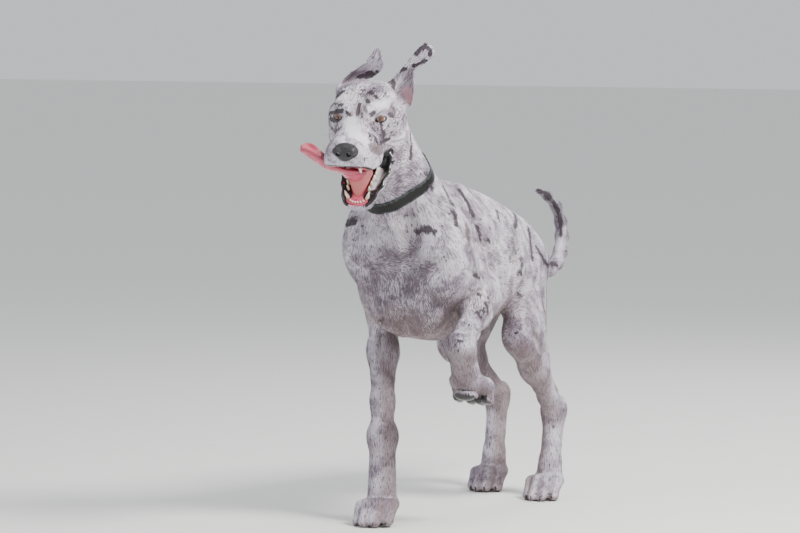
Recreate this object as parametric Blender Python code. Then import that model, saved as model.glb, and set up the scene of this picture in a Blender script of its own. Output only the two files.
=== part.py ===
"""Great Dane at life size, a still museum model caught in a running pose.

The dog faces -Y, its left side is +X and it stands on Z = 0. Three feet carry it: the right
forefoot and both hind feet. The left foreleg is raised, the mouth is open with the tongue thrown
out to the dog's right, and both ears are flung up.

The animal is described as one smooth body made of tapered limbs, balls, lofted sections and thin
sheets that blend into one another. Each piece of it is sampled from that description, thinned to
few triangles, and parted from its neighbours by thin cuts.
"""

import math

import bmesh
import bpy
import numpy as np
from mathutils import Matrix, Vector
from mathutils.kdtree import KDTree

# Clearance between neighbouring pieces.
GAP = 0.0003
# How far a shape still counts when blending.
NEAR = 0.075
FAR = 0.05

# Sampling steps of the pieces, metres.
STEP_BODY = 0.006
STEP_LEG = 0.0042
STEP_HEAD = 0.0027
STEP_FINE = 0.0016

# Triangles kept in each piece before it is cut.
BUDGET = {
    "torso": 2600,
    "neck": 640,
    "foreleg": 1180,
    "hindleg": 1180,
    "head": 3900,
    "ear": 860,
    "tail": 420,
    "tongue": 440,
    "nose": 340,
}

# Torso sections along Y: top and bottom lines, half width, height of the widest line.
TORSO_Y = [-0.015, 0.02, 0.07, 0.13, 0.20, 0.28, 0.36, 0.44, 0.52, 0.60, 0.66, 0.71]
TORSO_TOP = [0.57, 0.650, 0.696, 0.722, 0.735, 0.727, 0.708, 0.684, 0.658, 0.628, 0.594, 0.562]
TORSO_BOTTOM = [0.50, 0.455, 0.428, 0.410, 0.398, 0.401, 0.421, 0.450, 0.474, 0.488, 0.492, 0.51]
TORSO_HALF = [0.050, 0.090, 0.106, 0.114, 0.121, 0.126, 0.120, 0.103, 0.080, 0.066, 0.052, 0.034]
TORSO_MID = [0.54, 0.55, 0.55, 0.555, 0.56, 0.56, 0.56, 0.565, 0.57, 0.565, 0.555, 0.54]

# Neck: centre, half depth and how flat it is from side to side.
NECK = [((0, 0.12, 0.60), 0.112), ((-0.002, 0.05, 0.665), 0.097), ((-0.010, -0.02, 0.745), 0.080),
        ((-0.018, -0.075, 0.82), 0.070), ((-0.023, -0.110, 0.88), 0.066)]
NECK_FLAT = 0.70
COLLAR_AT = (-0.012, -0.033, 0.750)
COLLAR_AXIS = (-0.08, -0.56, 0.82)
COLLAR_WIDE = 0.027
COLLAR_THICK = 0.004
COLLAR_SINK = 0.0015
# Buckle: its turn round the band from the dog's side, outer size and opening (along, across, out).
BUCKLE_TURN = 25
BUCKLE_SIZE = (0.030, 0.036, 0.009)
BUCKLE_HOLE = (0.020, 0.025, 0.030)

FORELEG = {
    "left": dict(blade=(0.045, 0.165, 0.700), shoulder=(0.088, 0.005, 0.578),
                 elbow=(0.116, 0.162, 0.494), wrist=(0.148, -0.034, 0.402),
                 knuckle=(0.146, 0.006, 0.322), toe=(0.146, 0.058, 0.272)),
    "right": dict(blade=(-0.045, 0.165, 0.700), shoulder=(-0.084, 0.005, 0.598),
                  elbow=(-0.108, 0.118, 0.458), wrist=(-0.064, 0.020, 0.190),
                  knuckle=(-0.052, -0.010, 0.044), toe=(-0.047, -0.088, 0.007)),
}
HINDLEG = {
    "left": dict(hip=(0.036, 0.570, 0.53), knee=(0.103, 0.408, 0.386), hock=(0.098, 0.605, 0.200),
                 knuckle=(0.100, 0.575, 0.043), toe=(0.101, 0.500, 0.006), seat=(0.022, 0.645, 0.530)),
    "right": dict(hip=(-0.036, 0.570, 0.53), knee=(-0.094, 0.485, 0.360), hock=(-0.088, 0.705, 0.215),
                  knuckle=(-0.086, 0.680, 0.044), toe=(-0.084, 0.605, 0.007), seat=(-0.022, 0.645, 0.530)),
}
# Radii of the limbs, metres.
WRIST_R = 0.0275
PAW_WIDE_FORE = 1.05
PAW_WIDE_HIND = 0.95
TOE_ACROSS = (-0.030, -0.0105, 0.0105, 0.030)
TOE_REACH = (0.78, 1.0, 1.0, 0.78)
CLAW_LONG = 0.021
CLAW_R = 0.0048

TAIL = [((0.0, 0.690, 0.560), 0.026), ((0.0, 0.725, 0.536), 0.0205), ((0.0, 0.760, 0.518), 0.0175),
        ((0.003, 0.800, 0.512), 0.0160), ((0.007, 0.832, 0.523), 0.0152),
        ((0.011, 0.851, 0.549), 0.0146), ((0.012, 0.858, 0.584), 0.0138), ((0.012, 0.852, 0.618), 0.0126),
        ((0.008, 0.834, 0.655), 0.0110), ((-0.002, 0.806, 0.682), 0.0088),
        ((-0.014, 0.778, 0.695), 0.0062)]
# Where the tail is parted, as places in the list above.
TAIL_CUTS = (1, 5, 8)

# The head's own frame: origin midway between the eyes, -Y to the nose, +X to its left.
HEAD_AT = (-0.0185, -0.19, 0.904)
HEAD_YAW = math.radians(12)
HEAD_PITCH = math.radians(17)
HEAD_ROLL = math.radians(2.5)
JAW_HINGE = (0, 0.060, -0.035)
JAW_OPEN = math.radians(30)
EYE = (0.0450, -0.003, 0.0)
EYE_R = 0.0125
LID_THICK = 0.0026
# The slit between the lids: inner corner, middle, outer corner.
EYE_SLIT = [(0.0395, -0.0155, -0.003), (0.0490, -0.0155, -0.0008), (0.0580, -0.0080, -0.0012)]
EYE_SLIT_R = (0.0028, 0.0068, 0.0030)

SKULL_Y = [-0.045, -0.02, 0.01, 0.05, 0.09, 0.12, 0.145]
SKULL_TOP = [0.004, 0.024, 0.037, 0.046, 0.049, 0.041, 0.018]
SKULL_BOTTOM = [-0.06, -0.072, -0.080, -0.085, -0.080, -0.070, -0.040]
SKULL_HALF = [0.036, 0.050, 0.059, 0.066, 0.065, 0.054, 0.030]
SKULL_MID = [-0.022, -0.014, -0.010, -0.012, -0.012, -0.012, -0.015]
MUZZLE_Y = [-0.160, -0.150, -0.125, -0.09, -0.05, -0.01, 0.02]
MUZZLE_TOP = [-0.022, -0.008, -0.003, -0.001, 0.002, 0.010, 0.022]
MUZZLE_BOTTOM = [-0.052, -0.066, -0.082, -0.092, -0.100, -0.106, -0.100]
MUZZLE_HALF = [0.020, 0.034, 0.0425, 0.0460, 0.048, 0.051, 0.054]
MUZZLE_MID = [-0.038, -0.042, -0.050, -0.052, -0.052, -0.047, -0.040]
JAW_Y = [-0.140, -0.131, -0.10, -0.06, -0.01, 0.03]
JAW_TOP = [-0.078, -0.072, -0.070, -0.069, -0.064, -0.050]
JAW_BOTTOM = [-0.092, -0.104, -0.110, -0.114, -0.117, -0.110]
JAW_HALF = [0.018, 0.029, 0.035, 0.042, 0.050, 0.055]
# The open jaw hangs a little to the dog's left.
JAW_SHIFT = 0.006
# Edge of the lower lip in the jaw's frame, from the chin back; the left one hangs open.
LIP_LEFT = [(0.0, -0.134, -0.084), (0.018, -0.130, -0.083), (0.033, -0.112, -0.078), (0.046, -0.085, -0.073),
            (0.054, -0.050, -0.068), (0.058, -0.012, -0.066), (0.058, 0.020, -0.064)]
LIP_RIGHT = [(0.0, -0.134, -0.084), (-0.018, -0.130, -0.083), (-0.029, -0.112, -0.076),
             (-0.035, -0.085, -0.070),
             (-0.041, -0.050, -0.066), (-0.047, -0.012, -0.064), (-0.052, 0.020, -0.062)]
LIP_R = 0.0065
# Height of the lower lip's edge in the jaw's frame by Y.
LIP_TOP = ([-0.140, -0.125, -0.105, -0.06, 0.03], [-0.079, -0.078, -0.071, -0.064, -0.058])
# Edge of the upper lip in the head's frame: its height by Y.
UPPER_LIP_Y = [-0.18, -0.145, -0.115, -0.09, -0.02, 0.05]
UPPER_LIP_Z = [-0.056, -0.066, -0.082, -0.088, -0.101, -0.108]
MOUTH_BACK = 0.040
# Lower teeth in the jaw's frame: root, height, root radius, tip radius; mirrored.
CANINE_LOW = ((0.0195, -0.117, -0.084), 0.024, 0.0055, 0.0012)
INCISORS = ((0.0030, -0.1285, 0.0028), (0.0088, -0.1270, 0.0030), (0.0142, -0.1235, 0.0032))
CHEEK_TEETH_Y = (-0.098, -0.084, -0.068, -0.048, -0.026)
CHEEK_TEETH_R = (0.0042, 0.0050, 0.0060, 0.0078, 0.0085)
CANINE_UP = ((0.0235, -0.120, -0.066), 0.022, 0.0058, 0.0012)
JAW_MID = [-0.084, -0.086, -0.088, -0.088, -0.085, -0.080]

# Ears in the head's frame, root to tip: front or inner edge, middle, outer edge, half thickness.
EAR_LEFT = [
    ((0.036, 0.075, 0.028), (0.060, 0.105, 0.020), (0.070, 0.075, -0.004), 0.0045),
    ((0.044, 0.082, 0.046), (0.080, 0.112, 0.030), (0.095, 0.078, 0.004), 0.0032),
    ((0.058, 0.090, 0.061), (0.086, 0.116, 0.048), (0.099, 0.086, 0.040), 0.0030),
    ((0.073, 0.098, 0.079), (0.091, 0.112, 0.070), (0.097, 0.098, 0.072), 0.0030),
    ((0.089, 0.106, 0.098), (0.108, 0.112, 0.090), (0.121, 0.108, 0.090), 0.0030),
    ((0.103, 0.112, 0.117), (0.124, 0.116, 0.108), (0.138, 0.118, 0.106), 0.0028),
    ((0.118, 0.118, 0.131), (0.130, 0.121, 0.124), (0.137, 0.122, 0.119), 0.0024),
]
EAR_RIGHT = [
    ((-0.064, 0.070, 0.020), (-0.060, 0.100, 0.018), (-0.034, 0.115, 0.030), 0.0045),
    ((-0.066, 0.074, 0.038), (-0.056, 0.112, 0.036), (-0.020, 0.130, 0.036), 0.0032),
    ((-0.050, 0.086, 0.058), (-0.036, 0.124, 0.052), (-0.002, 0.138, 0.042), 0.0030),
    ((-0.030, 0.098, 0.072), (-0.014, 0.130, 0.066), (0.014, 0.140, 0.056), 0.0030),
    ((-0.012, 0.110, 0.084), (0.002, 0.134, 0.078), (0.022, 0.138, 0.072), 0.0029),
    ((0.000, 0.120, 0.098), (0.010, 0.134, 0.092), (0.020, 0.134, 0.090), 0.0026),
    ((0.008, 0.128, 0.112), (0.011, 0.132, 0.111), (0.015, 0.132, 0.110), 0.0024),
]
# Tongue in the head's frame, root to tip: one edge, middle, other edge, half thickness.
TONGUE = [
    ((0.015, 0.004, -0.108), (0.0, 0.004, -0.116), (-0.015, 0.004, -0.108), 0.0080),
    ((0.019, -0.040, -0.110), (0.0, -0.040, -0.122), (-0.019, -0.040, -0.112), 0.0075),
    ((0.021, -0.078, -0.100), (0.0, -0.080, -0.112), (-0.021, -0.078, -0.104), 0.0070),
    ((0.014, -0.110, -0.088), (-0.008, -0.100, -0.095), (-0.026, -0.088, -0.092), 0.0062),
    ((-0.014, -0.122, -0.080), (-0.032, -0.106, -0.086), (-0.042, -0.088, -0.082), 0.0056),
    ((-0.044, -0.126, -0.068), (-0.054, -0.108, -0.080), (-0.060, -0.088, -0.064), 0.0050),
    ((-0.068, -0.122, -0.052), (-0.074, -0.106, -0.068), (-0.078, -0.086, -0.047), 0.0046),
    ((-0.090, -0.116, -0.042), (-0.093, -0.104, -0.057), (-0.096, -0.086, -0.039), 0.0042),
    ((-0.106, -0.108, -0.043), (-0.107, -0.102, -0.050), (-0.108, -0.096, -0.041), 0.0036),
]

# The lifted tongue's underside narrows down to the floor of the mouth: top, bottom, their radii.
TONGUE_UNDER = ((0.008, -0.056, -0.108), (0.004, -0.064, -0.168), 0.030, 0.0060)

# Nose leather in the head's frame: centre, radii, taken away or not.
NOSE = [
    ((0.002, -0.153, -0.027), (0.0280, 0.017, 0.0195), False),
    ((0, -0.157, -0.034), (0.014, 0.014, 0.014), False),
    ((0.0125, -0.172, -0.028), (0.0052, 0.010, 0.0062), True),
    ((-0.0125, -0.172, -0.028), (0.0052, 0.010, 0.0062), True),
]

# Planes that part the head from the neck and the neck from the torso.
HEAD_CUT_AT = (0, -0.076, 0.83)
HEAD_CUT_NORMAL = np.array([0.0, -0.835, 0.550])
NECK_CUT_AT = (0, 0.03, 0.6925)
NECK_CUT_NORMAL = np.array([0.0, -0.637, 0.771])
# Blocks round each ear and the jaw in the head's frame: x range and outline in Y and Z.
EAR_CUT_LEFT = (0.034, 0.20, [(0.03, 0.052), (0.03, 0.20), (0.17, 0.20), (0.17, -0.02), (0.072, -0.02),
                              (0.070, 0.030)])
EAR_CUT_RIGHT = (-0.20, 0.05, [(0.03, 0.062), (0.03, 0.20), (0.19, 0.20), (0.19, 0.045), (0.10, 0.045)])
JAW_CUT = (-0.12, 0.12, [(0.032, -0.098), (-0.26, -0.160), (-0.26, -0.40), (0.06, -0.40), (0.06, -0.125)])
# Blocks round the legs: arch (middle Y and Z, radii), foot (front, back, top), inner face.
LEG_BLOCK = {
    "foreleg": ((0.090, 0.545, 0.165, 0.130), (-0.20, 0.26, 0.43), (0.070, 0.16, -0.02)),
    "hindleg": ((0.540, 0.500, 0.165, 0.135), (0.30, 0.84, 0.40), (0.030, 0.16, 0.0)),
}
LEG_RANGE = {
    "foreleg": ((-0.20, -0.03), (0.28, 0.70)),
    "hindleg": ((0.30, -0.03), (0.80, 0.66)),
}

COATS = {
    "coat": ((0.52, 0.49, 0.53), 0.75),
    "eye": ((0.16, 0.06, 0.03), 0.15),
    "nose": ((0.02, 0.02, 0.025), 0.35),
    "tongue": ((0.72, 0.13, 0.20), 0.35),
    "collar": ((0.01, 0.011, 0.012), 0.3),
    "buckle": ((0.35, 0.36, 0.38), 0.3),
}


def vec(*values):
    """A vector of floats."""
    return np.array(values, float)


def unit(values):
    """The same direction, one metre long."""
    values = np.asarray(values, float)
    return values / np.linalg.norm(values)


def between(start, end, share):
    """The point a share of the way from start to end."""
    return vec(*start) + (vec(*end) - vec(*start)) * share


def smooth_curve(keys, values):
    """A smooth curve through values at keys, returned as a function."""
    keys, values = np.asarray(keys, float), np.asarray(values, float)
    spans = np.diff(keys)
    rise = np.diff(values, axis=0) / (spans if values.ndim == 1 else spans[:, None])
    slopes = np.zeros_like(values)
    slopes[0], slopes[-1] = rise[0], rise[-1]
    for i in range(1, len(keys) - 1):
        slopes[i] = (rise[i - 1] * spans[i] + rise[i] * spans[i - 1]) / (spans[i] + spans[i - 1])

    def at(t):
        t = np.clip(t, keys[0], keys[-1])
        i = np.clip(np.searchsorted(keys, t) - 1, 0, len(spans) - 1)
        s, span = (t - keys[i]) / spans[i], spans[i]
        if values.ndim == 2:
            s, span = s[:, None], span[:, None]
        return (values[i] * (2 * s**3 - 3 * s**2 + 1) + values[i + 1] * (3 * s**2 - 2 * s**3)
                + slopes[i] * span * (s**3 - 2 * s**2 + s) + slopes[i + 1] * span * (s**3 - s**2))

    return at


def join(a, b, blend):
    """Union of two distances, rounded where they meet."""
    if blend <= 0:
        return np.minimum(a, b)
    h = np.maximum(blend - np.abs(a - b), 0) / blend
    return np.minimum(a, b) - h * h * blend / 4


def carve(a, b, blend):
    """Distance a with b taken away, rounded at the rim."""
    return -join(-a, b, blend)


class Ball:
    """An ellipsoid."""

    def __init__(self, centre, radii, blend=0.02, cut=False):
        self.centre = vec(*centre)
        self.radii = vec(*radii) if np.ndim(radii) else vec(radii, radii, radii)
        self.blend, self.cut = blend, cut
        self.reach = self.radii.max()

    def distance(self, points):
        q = points - self.centre
        k0 = np.sqrt(((q / self.radii) ** 2).sum(1))
        k1 = np.sqrt(((q / self.radii**2) ** 2).sum(1))
        return np.where(k0 > 1e-6, k0 * (k0 - 1) / np.maximum(k1, 1e-9), -self.radii.min())


class Limb:
    """A tapered limb with round ends, flattened along the direction named side."""

    def __init__(self, start, end, r_start, r_end, blend=0.02, side=None, flat=1.0, cut=False):
        self.start, self.end = vec(*start), vec(*end)
        self.r_start, self.r_end, self.blend, self.cut = r_start, r_end, blend, cut
        self.side, self.flat = (None if side is None else unit(side)), flat
        self.centre = (self.start + self.end) / 2
        self.reach = np.linalg.norm(self.end - self.start) / 2 + max(r_start, r_end)

    def distance(self, points):
        axis = self.end - self.start
        q = points - self.start
        h = np.clip(q @ axis / max(axis @ axis, 1e-12), 0, 1)
        w = q - h[:, None] * axis
        r = self.r_start + (self.r_end - self.r_start) * h
        off = np.einsum("ij,ij->i", w, w)
        if self.side is None:
            return np.sqrt(off) - r
        s = (w @ self.side) ** 2
        rest = np.maximum(off - s, 0)
        thin = r * self.flat
        k0 = np.sqrt(rest / r**2 + s / thin**2)
        k1 = np.sqrt(rest / r**4 + s / thin**4)
        return np.where(k0 > 1e-6, k0 * (k0 - 1) / np.maximum(k1, 1e-9), -thin)


class Loft:
    """Sections across Y, each with a top, a bottom, a half width and a widest line."""

    def __init__(self, keys, top, bottom, half, mid, power=2.0, blend=0.02):
        self.first, self.last = keys[0], keys[-1]
        self.top, self.bottom = smooth_curve(keys, top), smooth_curve(keys, bottom)
        self.half, self.mid = smooth_curve(keys, half), smooth_curve(keys, mid)
        self.power, self.blend, self.cut = power, blend, False
        self.centre = vec(0, (keys[0] + keys[-1]) / 2, (max(top) + min(bottom)) / 2)
        self.reach = math.hypot(keys[-1] - keys[0], max(top) - min(bottom)) / 2 + max(half)

    def distance(self, points):
        y = np.clip(points[:, 1], self.first, self.last)
        mid = self.mid(y)
        z = points[:, 2] - mid
        wide = np.maximum(self.half(y), 0.004)
        tall = np.maximum(np.where(z > 0, self.top(y) - mid, mid - self.bottom(y)), 0.004)
        n = self.power
        a, b = np.abs(points[:, 0]) / wide, np.abs(z) / tall
        f = np.maximum(a**n + b**n, 1e-12) ** (1 / n)
        slope_x, slope_z = (a / f) ** (n - 1) / wide, (b / f) ** (n - 1) / tall
        d = (f - 1) / np.sqrt(slope_x**2 + slope_z**2 + 1e-9)
        past = np.abs(points[:, 1] - y)
        return np.where(past > 0, np.hypot(np.maximum(d, 0), past), d)


class Sheet:
    """A thin curved sheet, such as an ear: rows of two edges and a middle, from root to tip."""

    def __init__(self, rows, blend=0.01, along=90, across=40):
        keys = np.arange(len(rows), dtype=float)
        curves = [smooth_curve(keys, [row[i] for row in rows]) for i in range(4)]
        t = np.linspace(0, keys[-1], along)
        first, middle, last, thick = [curve(t) for curve in curves]
        s = np.linspace(0, 1, across)
        spots, radii = [], []
        for share in s:
            bow = 4 * share * (1 - share)
            straight = first + (last - first) * share
            spots.append(straight + (middle - (first + last) / 2) * bow)
            rim = 0.72 + 0.28 * min(1.0, 6 * min(share, 1 - share))
            radii.append(thick * rim)
        self.spots, self.radii = np.concatenate(spots), np.concatenate(radii)
        self.blend, self.cut = blend, False
        self.centre = self.spots.mean(0)
        self.reach = np.linalg.norm(self.spots - self.centre, axis=1).max() + 0.01
        self.tree = KDTree(len(self.spots))
        for i, spot in enumerate(self.spots):
            self.tree.insert(Vector(spot), i)
        self.tree.balance()

    def distance(self, points):
        rough = np.min([np.linalg.norm(points - s, axis=1) for s in self.spots[::37]], axis=0)
        result = np.minimum(rough, FAR)
        for i in np.flatnonzero(rough < 0.035):
            _, index, away = self.tree.find(points[i])
            result[i] = away - self.radii[index]
        return result


def measure(shapes, points, start=None):
    """Distance from each point to the surface of the blended shapes; inside is negative."""
    result = np.full(len(points), 1.0) if start is None else start
    for shape in shapes:
        off = points - shape.centre
        near = np.flatnonzero(np.einsum("ij,ij->i", off, off) < (shape.reach + NEAR) ** 2)
        if len(near):
            blend = carve if shape.cut else join
            result[near] = blend(result[near], shape.distance(points[near]), shape.blend)
    return result


def body_shapes():
    """Torso and neck."""
    shapes = [Loft(TORSO_Y, TORSO_TOP, TORSO_BOTTOM, TORSO_HALF, TORSO_MID, 2.05, 0.03)]
    for (low, r_low), (high, r_high) in zip(NECK, NECK[1:]):
        shapes.append(Limb(low, high, r_low, r_high, 0.045, (1, 0, 0), NECK_FLAT))
    # Crest from the withers to the poll, and the throat.
    shapes.append(Limb((0, 0.165, 0.692), (-0.020, -0.055, 0.860), 0.028, 0.020, 0.05))
    shapes.append(Limb((-0.002, 0.01, 0.56), (-0.022, -0.105, 0.79), 0.036, 0.032, 0.04))
    # Breastbone point.
    shapes.append(Ball((0, 0.0, 0.515), (0.035, 0.028, 0.04), 0.035))
    for side in (-1, 1):
        # Breast muscles and the keel behind them.
        shapes.append(Ball((side * 0.045, 0.02, 0.485), (0.042, 0.042, 0.062), 0.04))
        shapes.append(Limb((side * 0.03, 0.06, 0.438), (side * 0.032, 0.20, 0.418), 0.030, 0.026, 0.03))
        # Muscle from the neck down over the shoulder.
        shapes.append(Limb((side * 0.036 - 0.018, -0.06, 0.83), (side * 0.060, 0.02, 0.665),
                           0.022, 0.050, 0.04))
        shapes.append(Limb((side * 0.060, 0.02, 0.665), (side * 0.074, 0.006, 0.585), 0.050, 0.048, 0.04))
        # Back muscle, hip bone, rump.
        shapes.append(Limb((side * 0.028, 0.22, 0.700), (side * 0.024, 0.55, 0.622), 0.026, 0.024, 0.03))
        shapes.append(Ball((side * 0.042, 0.535, 0.612), (0.018, 0.028, 0.016), 0.025))
        shapes.append(Limb((side * 0.028, 0.57, 0.572), (side * 0.022, 0.670, 0.535), 0.035, 0.027, 0.03))
    # Root of the tail.
    shapes.append(Limb((0, 0.655, 0.575), TAIL[1][0], 0.034, 0.022, 0.03))
    return shapes


def foreleg_shapes(joints):
    """Shoulder, upper arm and forearm of one side."""
    side = math.copysign(1, joints["elbow"][0])
    out = (side, 0, 0)
    blade, shoulder = vec(*joints["blade"]), vec(*joints["shoulder"])
    elbow, wrist = vec(*joints["elbow"]), vec(*joints["wrist"])
    point = elbow - unit(wrist - elbow) * 0.012 + unit(elbow - shoulder) * 0.010
    third, low = between(elbow, wrist, 0.32), between(elbow, wrist, 0.72)
    return [
        Limb(blade, shoulder + vec(0, 0.01, 0.01), 0.040, 0.056, 0.04, out, 0.80),
        Limb(between(blade, shoulder, 0.25) + vec(side * 0.006, 0.045, -0.02),
             between(shoulder, elbow, 0.75) + vec(0, 0, 0.02), 0.050, 0.045, 0.03, out, 0.70),
        Limb(shoulder, elbow, 0.053, 0.044, 0.04, out, 0.80),
        Ball(shoulder + vec(side * 0.005, -0.004, 0), (0.036, 0.033, 0.048), 0.045),
        Ball(shoulder + vec(side * 0.012, 0.006, 0.050), (0.038, 0.042, 0.055), 0.045),
        Limb(between(blade, shoulder, 0.5) + vec(side * 0.022, 0.072, 0), point,
             0.045, 0.022, 0.03, out, 0.70),
        Ball(point, 0.019, 0.02),
        Limb(elbow, third, 0.039, 0.0375, 0.02, out, 0.82),
        Limb(third, low, 0.0375, 0.0265, 0.02, out, 0.87),
        Limb(low, wrist, 0.0262, WRIST_R, 0.02, out, 0.97),
        Ball(wrist, (0.031, 0.027, 0.030), 0.018),
    ]


def hindleg_shapes(joints):
    """Thigh, lower thigh and hock of one side."""
    side = math.copysign(1, joints["knee"][0])
    out = (side, 0, 0)
    hip, knee, hock = vec(*joints["hip"]), vec(*joints["knee"]), vec(*joints["hock"])
    seat, knuckle = vec(*joints["seat"]), vec(*joints["knuckle"])
    heel = hock + unit(hock - knee) * 0.022 + unit(hock - knuckle) * 0.026
    calf, shin = between(knee, hock, 0.38), between(knee, hock, 0.80)
    return [
        Limb(hip + vec(0, -0.015, 0), knee + vec(-side * 0.003, 0.02, 0.015), 0.078, 0.054, 0.035, out, 0.60),
        Limb(seat + vec(side * 0.008, -0.02, -0.005), between(knee, hock, 0.22) + vec(0, 0.030, 0.02),
             0.048, 0.040, 0.035, out, 0.66),
        Limb(hip + vec(side * 0.006, -0.06, 0.015), knee + vec(0, -0.006, 0.02),
             0.048, 0.040, 0.03, out, 0.72),
        Ball(knee + vec(0, -0.018, 0), (0.028, 0.027, 0.034), 0.025),
        Limb(knee, calf, 0.045, 0.038, 0.025, out, 0.76),
        Limb(calf, shin, 0.038, 0.0225, 0.025, out, 0.80),
        Limb(shin, hock, 0.0225, 0.0245, 0.02, out, 0.85),
        Limb(between(knee, hock, 0.55) + vec(0, 0.018, 0.010), heel, 0.015, 0.0125, 0.018),
        Ball(heel, 0.015, 0.014),
        Ball(hock, (0.0250, 0.028, 0.030), 0.018),
        Limb(heel, between(hock, knuckle, 0.5) + vec(0, 0.006, 0), 0.014, 0.0182, 0.02),
        Limb(hock, between(hock, knuckle, 0.9), 0.0242, 0.0220, 0.02, out, 0.9),
    ]


def paw_frame(wrist, knuckle, toe):
    """Forward, sideways and upward directions of a paw."""
    along, forward = unit(knuckle - wrist), unit(toe - knuckle)
    side = unit(np.cross(along, forward))
    side = side * math.copysign(1, side[0])
    top = unit(np.cross(side, forward))
    top = top * math.copysign(1, -(top @ along))
    return forward, side, top


def paw(wrist, knuckle, toe, wide):
    """Pastern, pad and four toes, with the places of the claws."""
    wrist, knuckle, toe = vec(*wrist), vec(*knuckle), vec(*toe)
    forward, side, top = paw_frame(wrist, knuckle, toe)
    length = np.linalg.norm(toe - knuckle)
    across = unit(np.cross(side, unit(knuckle - wrist)))
    shapes = [Limb(wrist, knuckle, 0.028 * wide, 0.033 * wide, 0.02, across, 0.74)]
    claws = []
    for across_by, reach in zip(TOE_ACROSS, TOE_REACH):
        rise = 0.004 if reach == 1.0 else -0.004
        root = knuckle + side * across_by * 0.72 * wide
        bend = knuckle + side * across_by * wide + forward * length * 0.45 * reach + top * (0.014 + rise)
        tip = knuckle + side * across_by * 1.1 * wide + forward * length * 0.93 * reach + top * (rise - 0.001)
        shapes.append(Limb(root, bend, 0.018 * wide, 0.0168 * wide, 0.006))
        shapes.append(Limb(bend, tip, 0.0168 * wide, 0.0135 * wide, 0.006))
        claws.append((tip + forward * 0.004 + top * 0.004, unit(forward - top * 0.35)))
        shapes.append(Ball(tip - forward * 0.006 - top * 0.005, (0.0105 * wide, 0.0150, 0.0120), 0.003))
    shapes.append(Ball(knuckle + forward * length * 0.22 - top * 0.024, (0.027 * wide, 0.020, 0.016), 0.005))
    return shapes, claws


def fore_paw(joints):
    return paw(joints["wrist"], joints["knuckle"], joints["toe"], PAW_WIDE_FORE)


def hind_paw(joints):
    ankle = between(joints["hock"], joints["knuckle"], 0.75)
    return paw(ankle, joints["knuckle"], joints["toe"], PAW_WIDE_HIND)


def tail_shapes(places):
    return [Limb(a, b, ra, rb, 0.012) for (a, ra), (b, rb) in zip(places, places[1:])]


def turn_about_x(angle):
    cosine, sine = math.cos(angle), math.sin(angle)
    return np.array([[1, 0, 0], [0, cosine, -sine], [0, sine, cosine]])


def head_turn():
    """Rotation that takes the head's frame to the body's."""
    yaw = np.array([[math.cos(HEAD_YAW), -math.sin(HEAD_YAW), 0],
                    [math.sin(HEAD_YAW), math.cos(HEAD_YAW), 0], [0, 0, 1]])
    roll = np.array([[math.cos(HEAD_ROLL), 0, math.sin(HEAD_ROLL)], [0, 1, 0],
                     [-math.sin(HEAD_ROLL), 0, math.cos(HEAD_ROLL)]])
    return yaw @ turn_about_x(HEAD_PITCH) @ roll


HEAD_TURN = head_turn()
JAW_TURN = turn_about_x(JAW_OPEN)


def to_head(points):
    return (points - vec(*HEAD_AT)) @ HEAD_TURN


def from_head(points):
    return np.asarray(points, float) @ HEAD_TURN.T + vec(*HEAD_AT)


def to_jaw(points):
    """From the head's frame to the lower jaw's, in which the mouth is shut."""
    return (points - vec(*JAW_HINGE) - vec(JAW_SHIFT, 0, 0)) @ JAW_TURN + vec(*JAW_HINGE)


def from_jaw(points):
    return (np.asarray(points, float) - vec(*JAW_HINGE)) @ JAW_TURN.T + vec(*JAW_HINGE) + vec(JAW_SHIFT, 0, 0)


def skull_shapes():
    """Skull, muzzle and upper lips in the head's frame."""
    shapes = [
        Loft(SKULL_Y, SKULL_TOP, SKULL_BOTTOM, SKULL_HALF, SKULL_MID, 2.1, 0.02),
        Loft(MUZZLE_Y, MUZZLE_TOP, MUZZLE_BOTTOM, MUZZLE_HALF, MUZZLE_MID, 2.5, 0.022),
    ]
    for side in (-1, 1):
        def at(x, y, z, side=side):
            return (side * x, y, z)
        shapes += [
            # Brow, cheek bone, chewing muscle, temple muscle.
            Limb(at(0.020, -0.022, 0.018), at(0.047, 0.006, 0.021), 0.012, 0.009, 0.020),
            Limb(at(0.056, 0.018, -0.020), at(0.067, 0.070, -0.016), 0.013, 0.016, 0.022),
            Ball(at(0.060, 0.060, -0.056), (0.0240, 0.042, 0.046), 0.025),
            Ball(at(0.034, 0.060, 0.026), (0.031, 0.048, 0.022), 0.02),
            # Upper lip, front and side.
            Ball(at(0.033, -0.114, -0.058), (0.0205, 0.036, 0.032), 0.016),
            Ball(at(0.043, -0.058, -0.078), (0.0120, 0.050, 0.026), 0.018),
            # Eye hollow, lids over the eye, and the slit between them.
            Ball(at(0.050, -0.021, -0.001), (0.014, 0.014, 0.011), 0.010, cut=True),
            Ball(at(*EYE), EYE_R + LID_THICK, 0.006),
            Limb(at(*EYE_SLIT[0]), at(*EYE_SLIT[1]), EYE_SLIT_R[0], EYE_SLIT_R[1], 0.0015, cut=True),
            Limb(at(*EYE_SLIT[1]), at(*EYE_SLIT[2]), EYE_SLIT_R[1], EYE_SLIT_R[2], 0.0015, cut=True),
        ]
    shapes.append(Limb((0, -0.045, 0.016), (0, 0.04, 0.056), 0.005, 0.007, 0.02, cut=True))
    return shapes


def jaw_shapes():
    """Lower jaw with its lips, in its own frame."""
    shapes = [Loft(JAW_Y, JAW_TOP, JAW_BOTTOM, JAW_HALF, JAW_MID, 2.4, 0.02)]
    for side in (-1, 1):
        shapes.append(Limb((side * 0.042, 0.0, -0.092), (side * 0.048, 0.05, -0.06), 0.022, 0.026, 0.02))
    for lip in (LIP_LEFT, LIP_RIGHT):
        for start, end in zip(lip, lip[1:]):
            shapes.append(Limb(start, end, LIP_R, LIP_R, 0.010))
    return shapes


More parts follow.
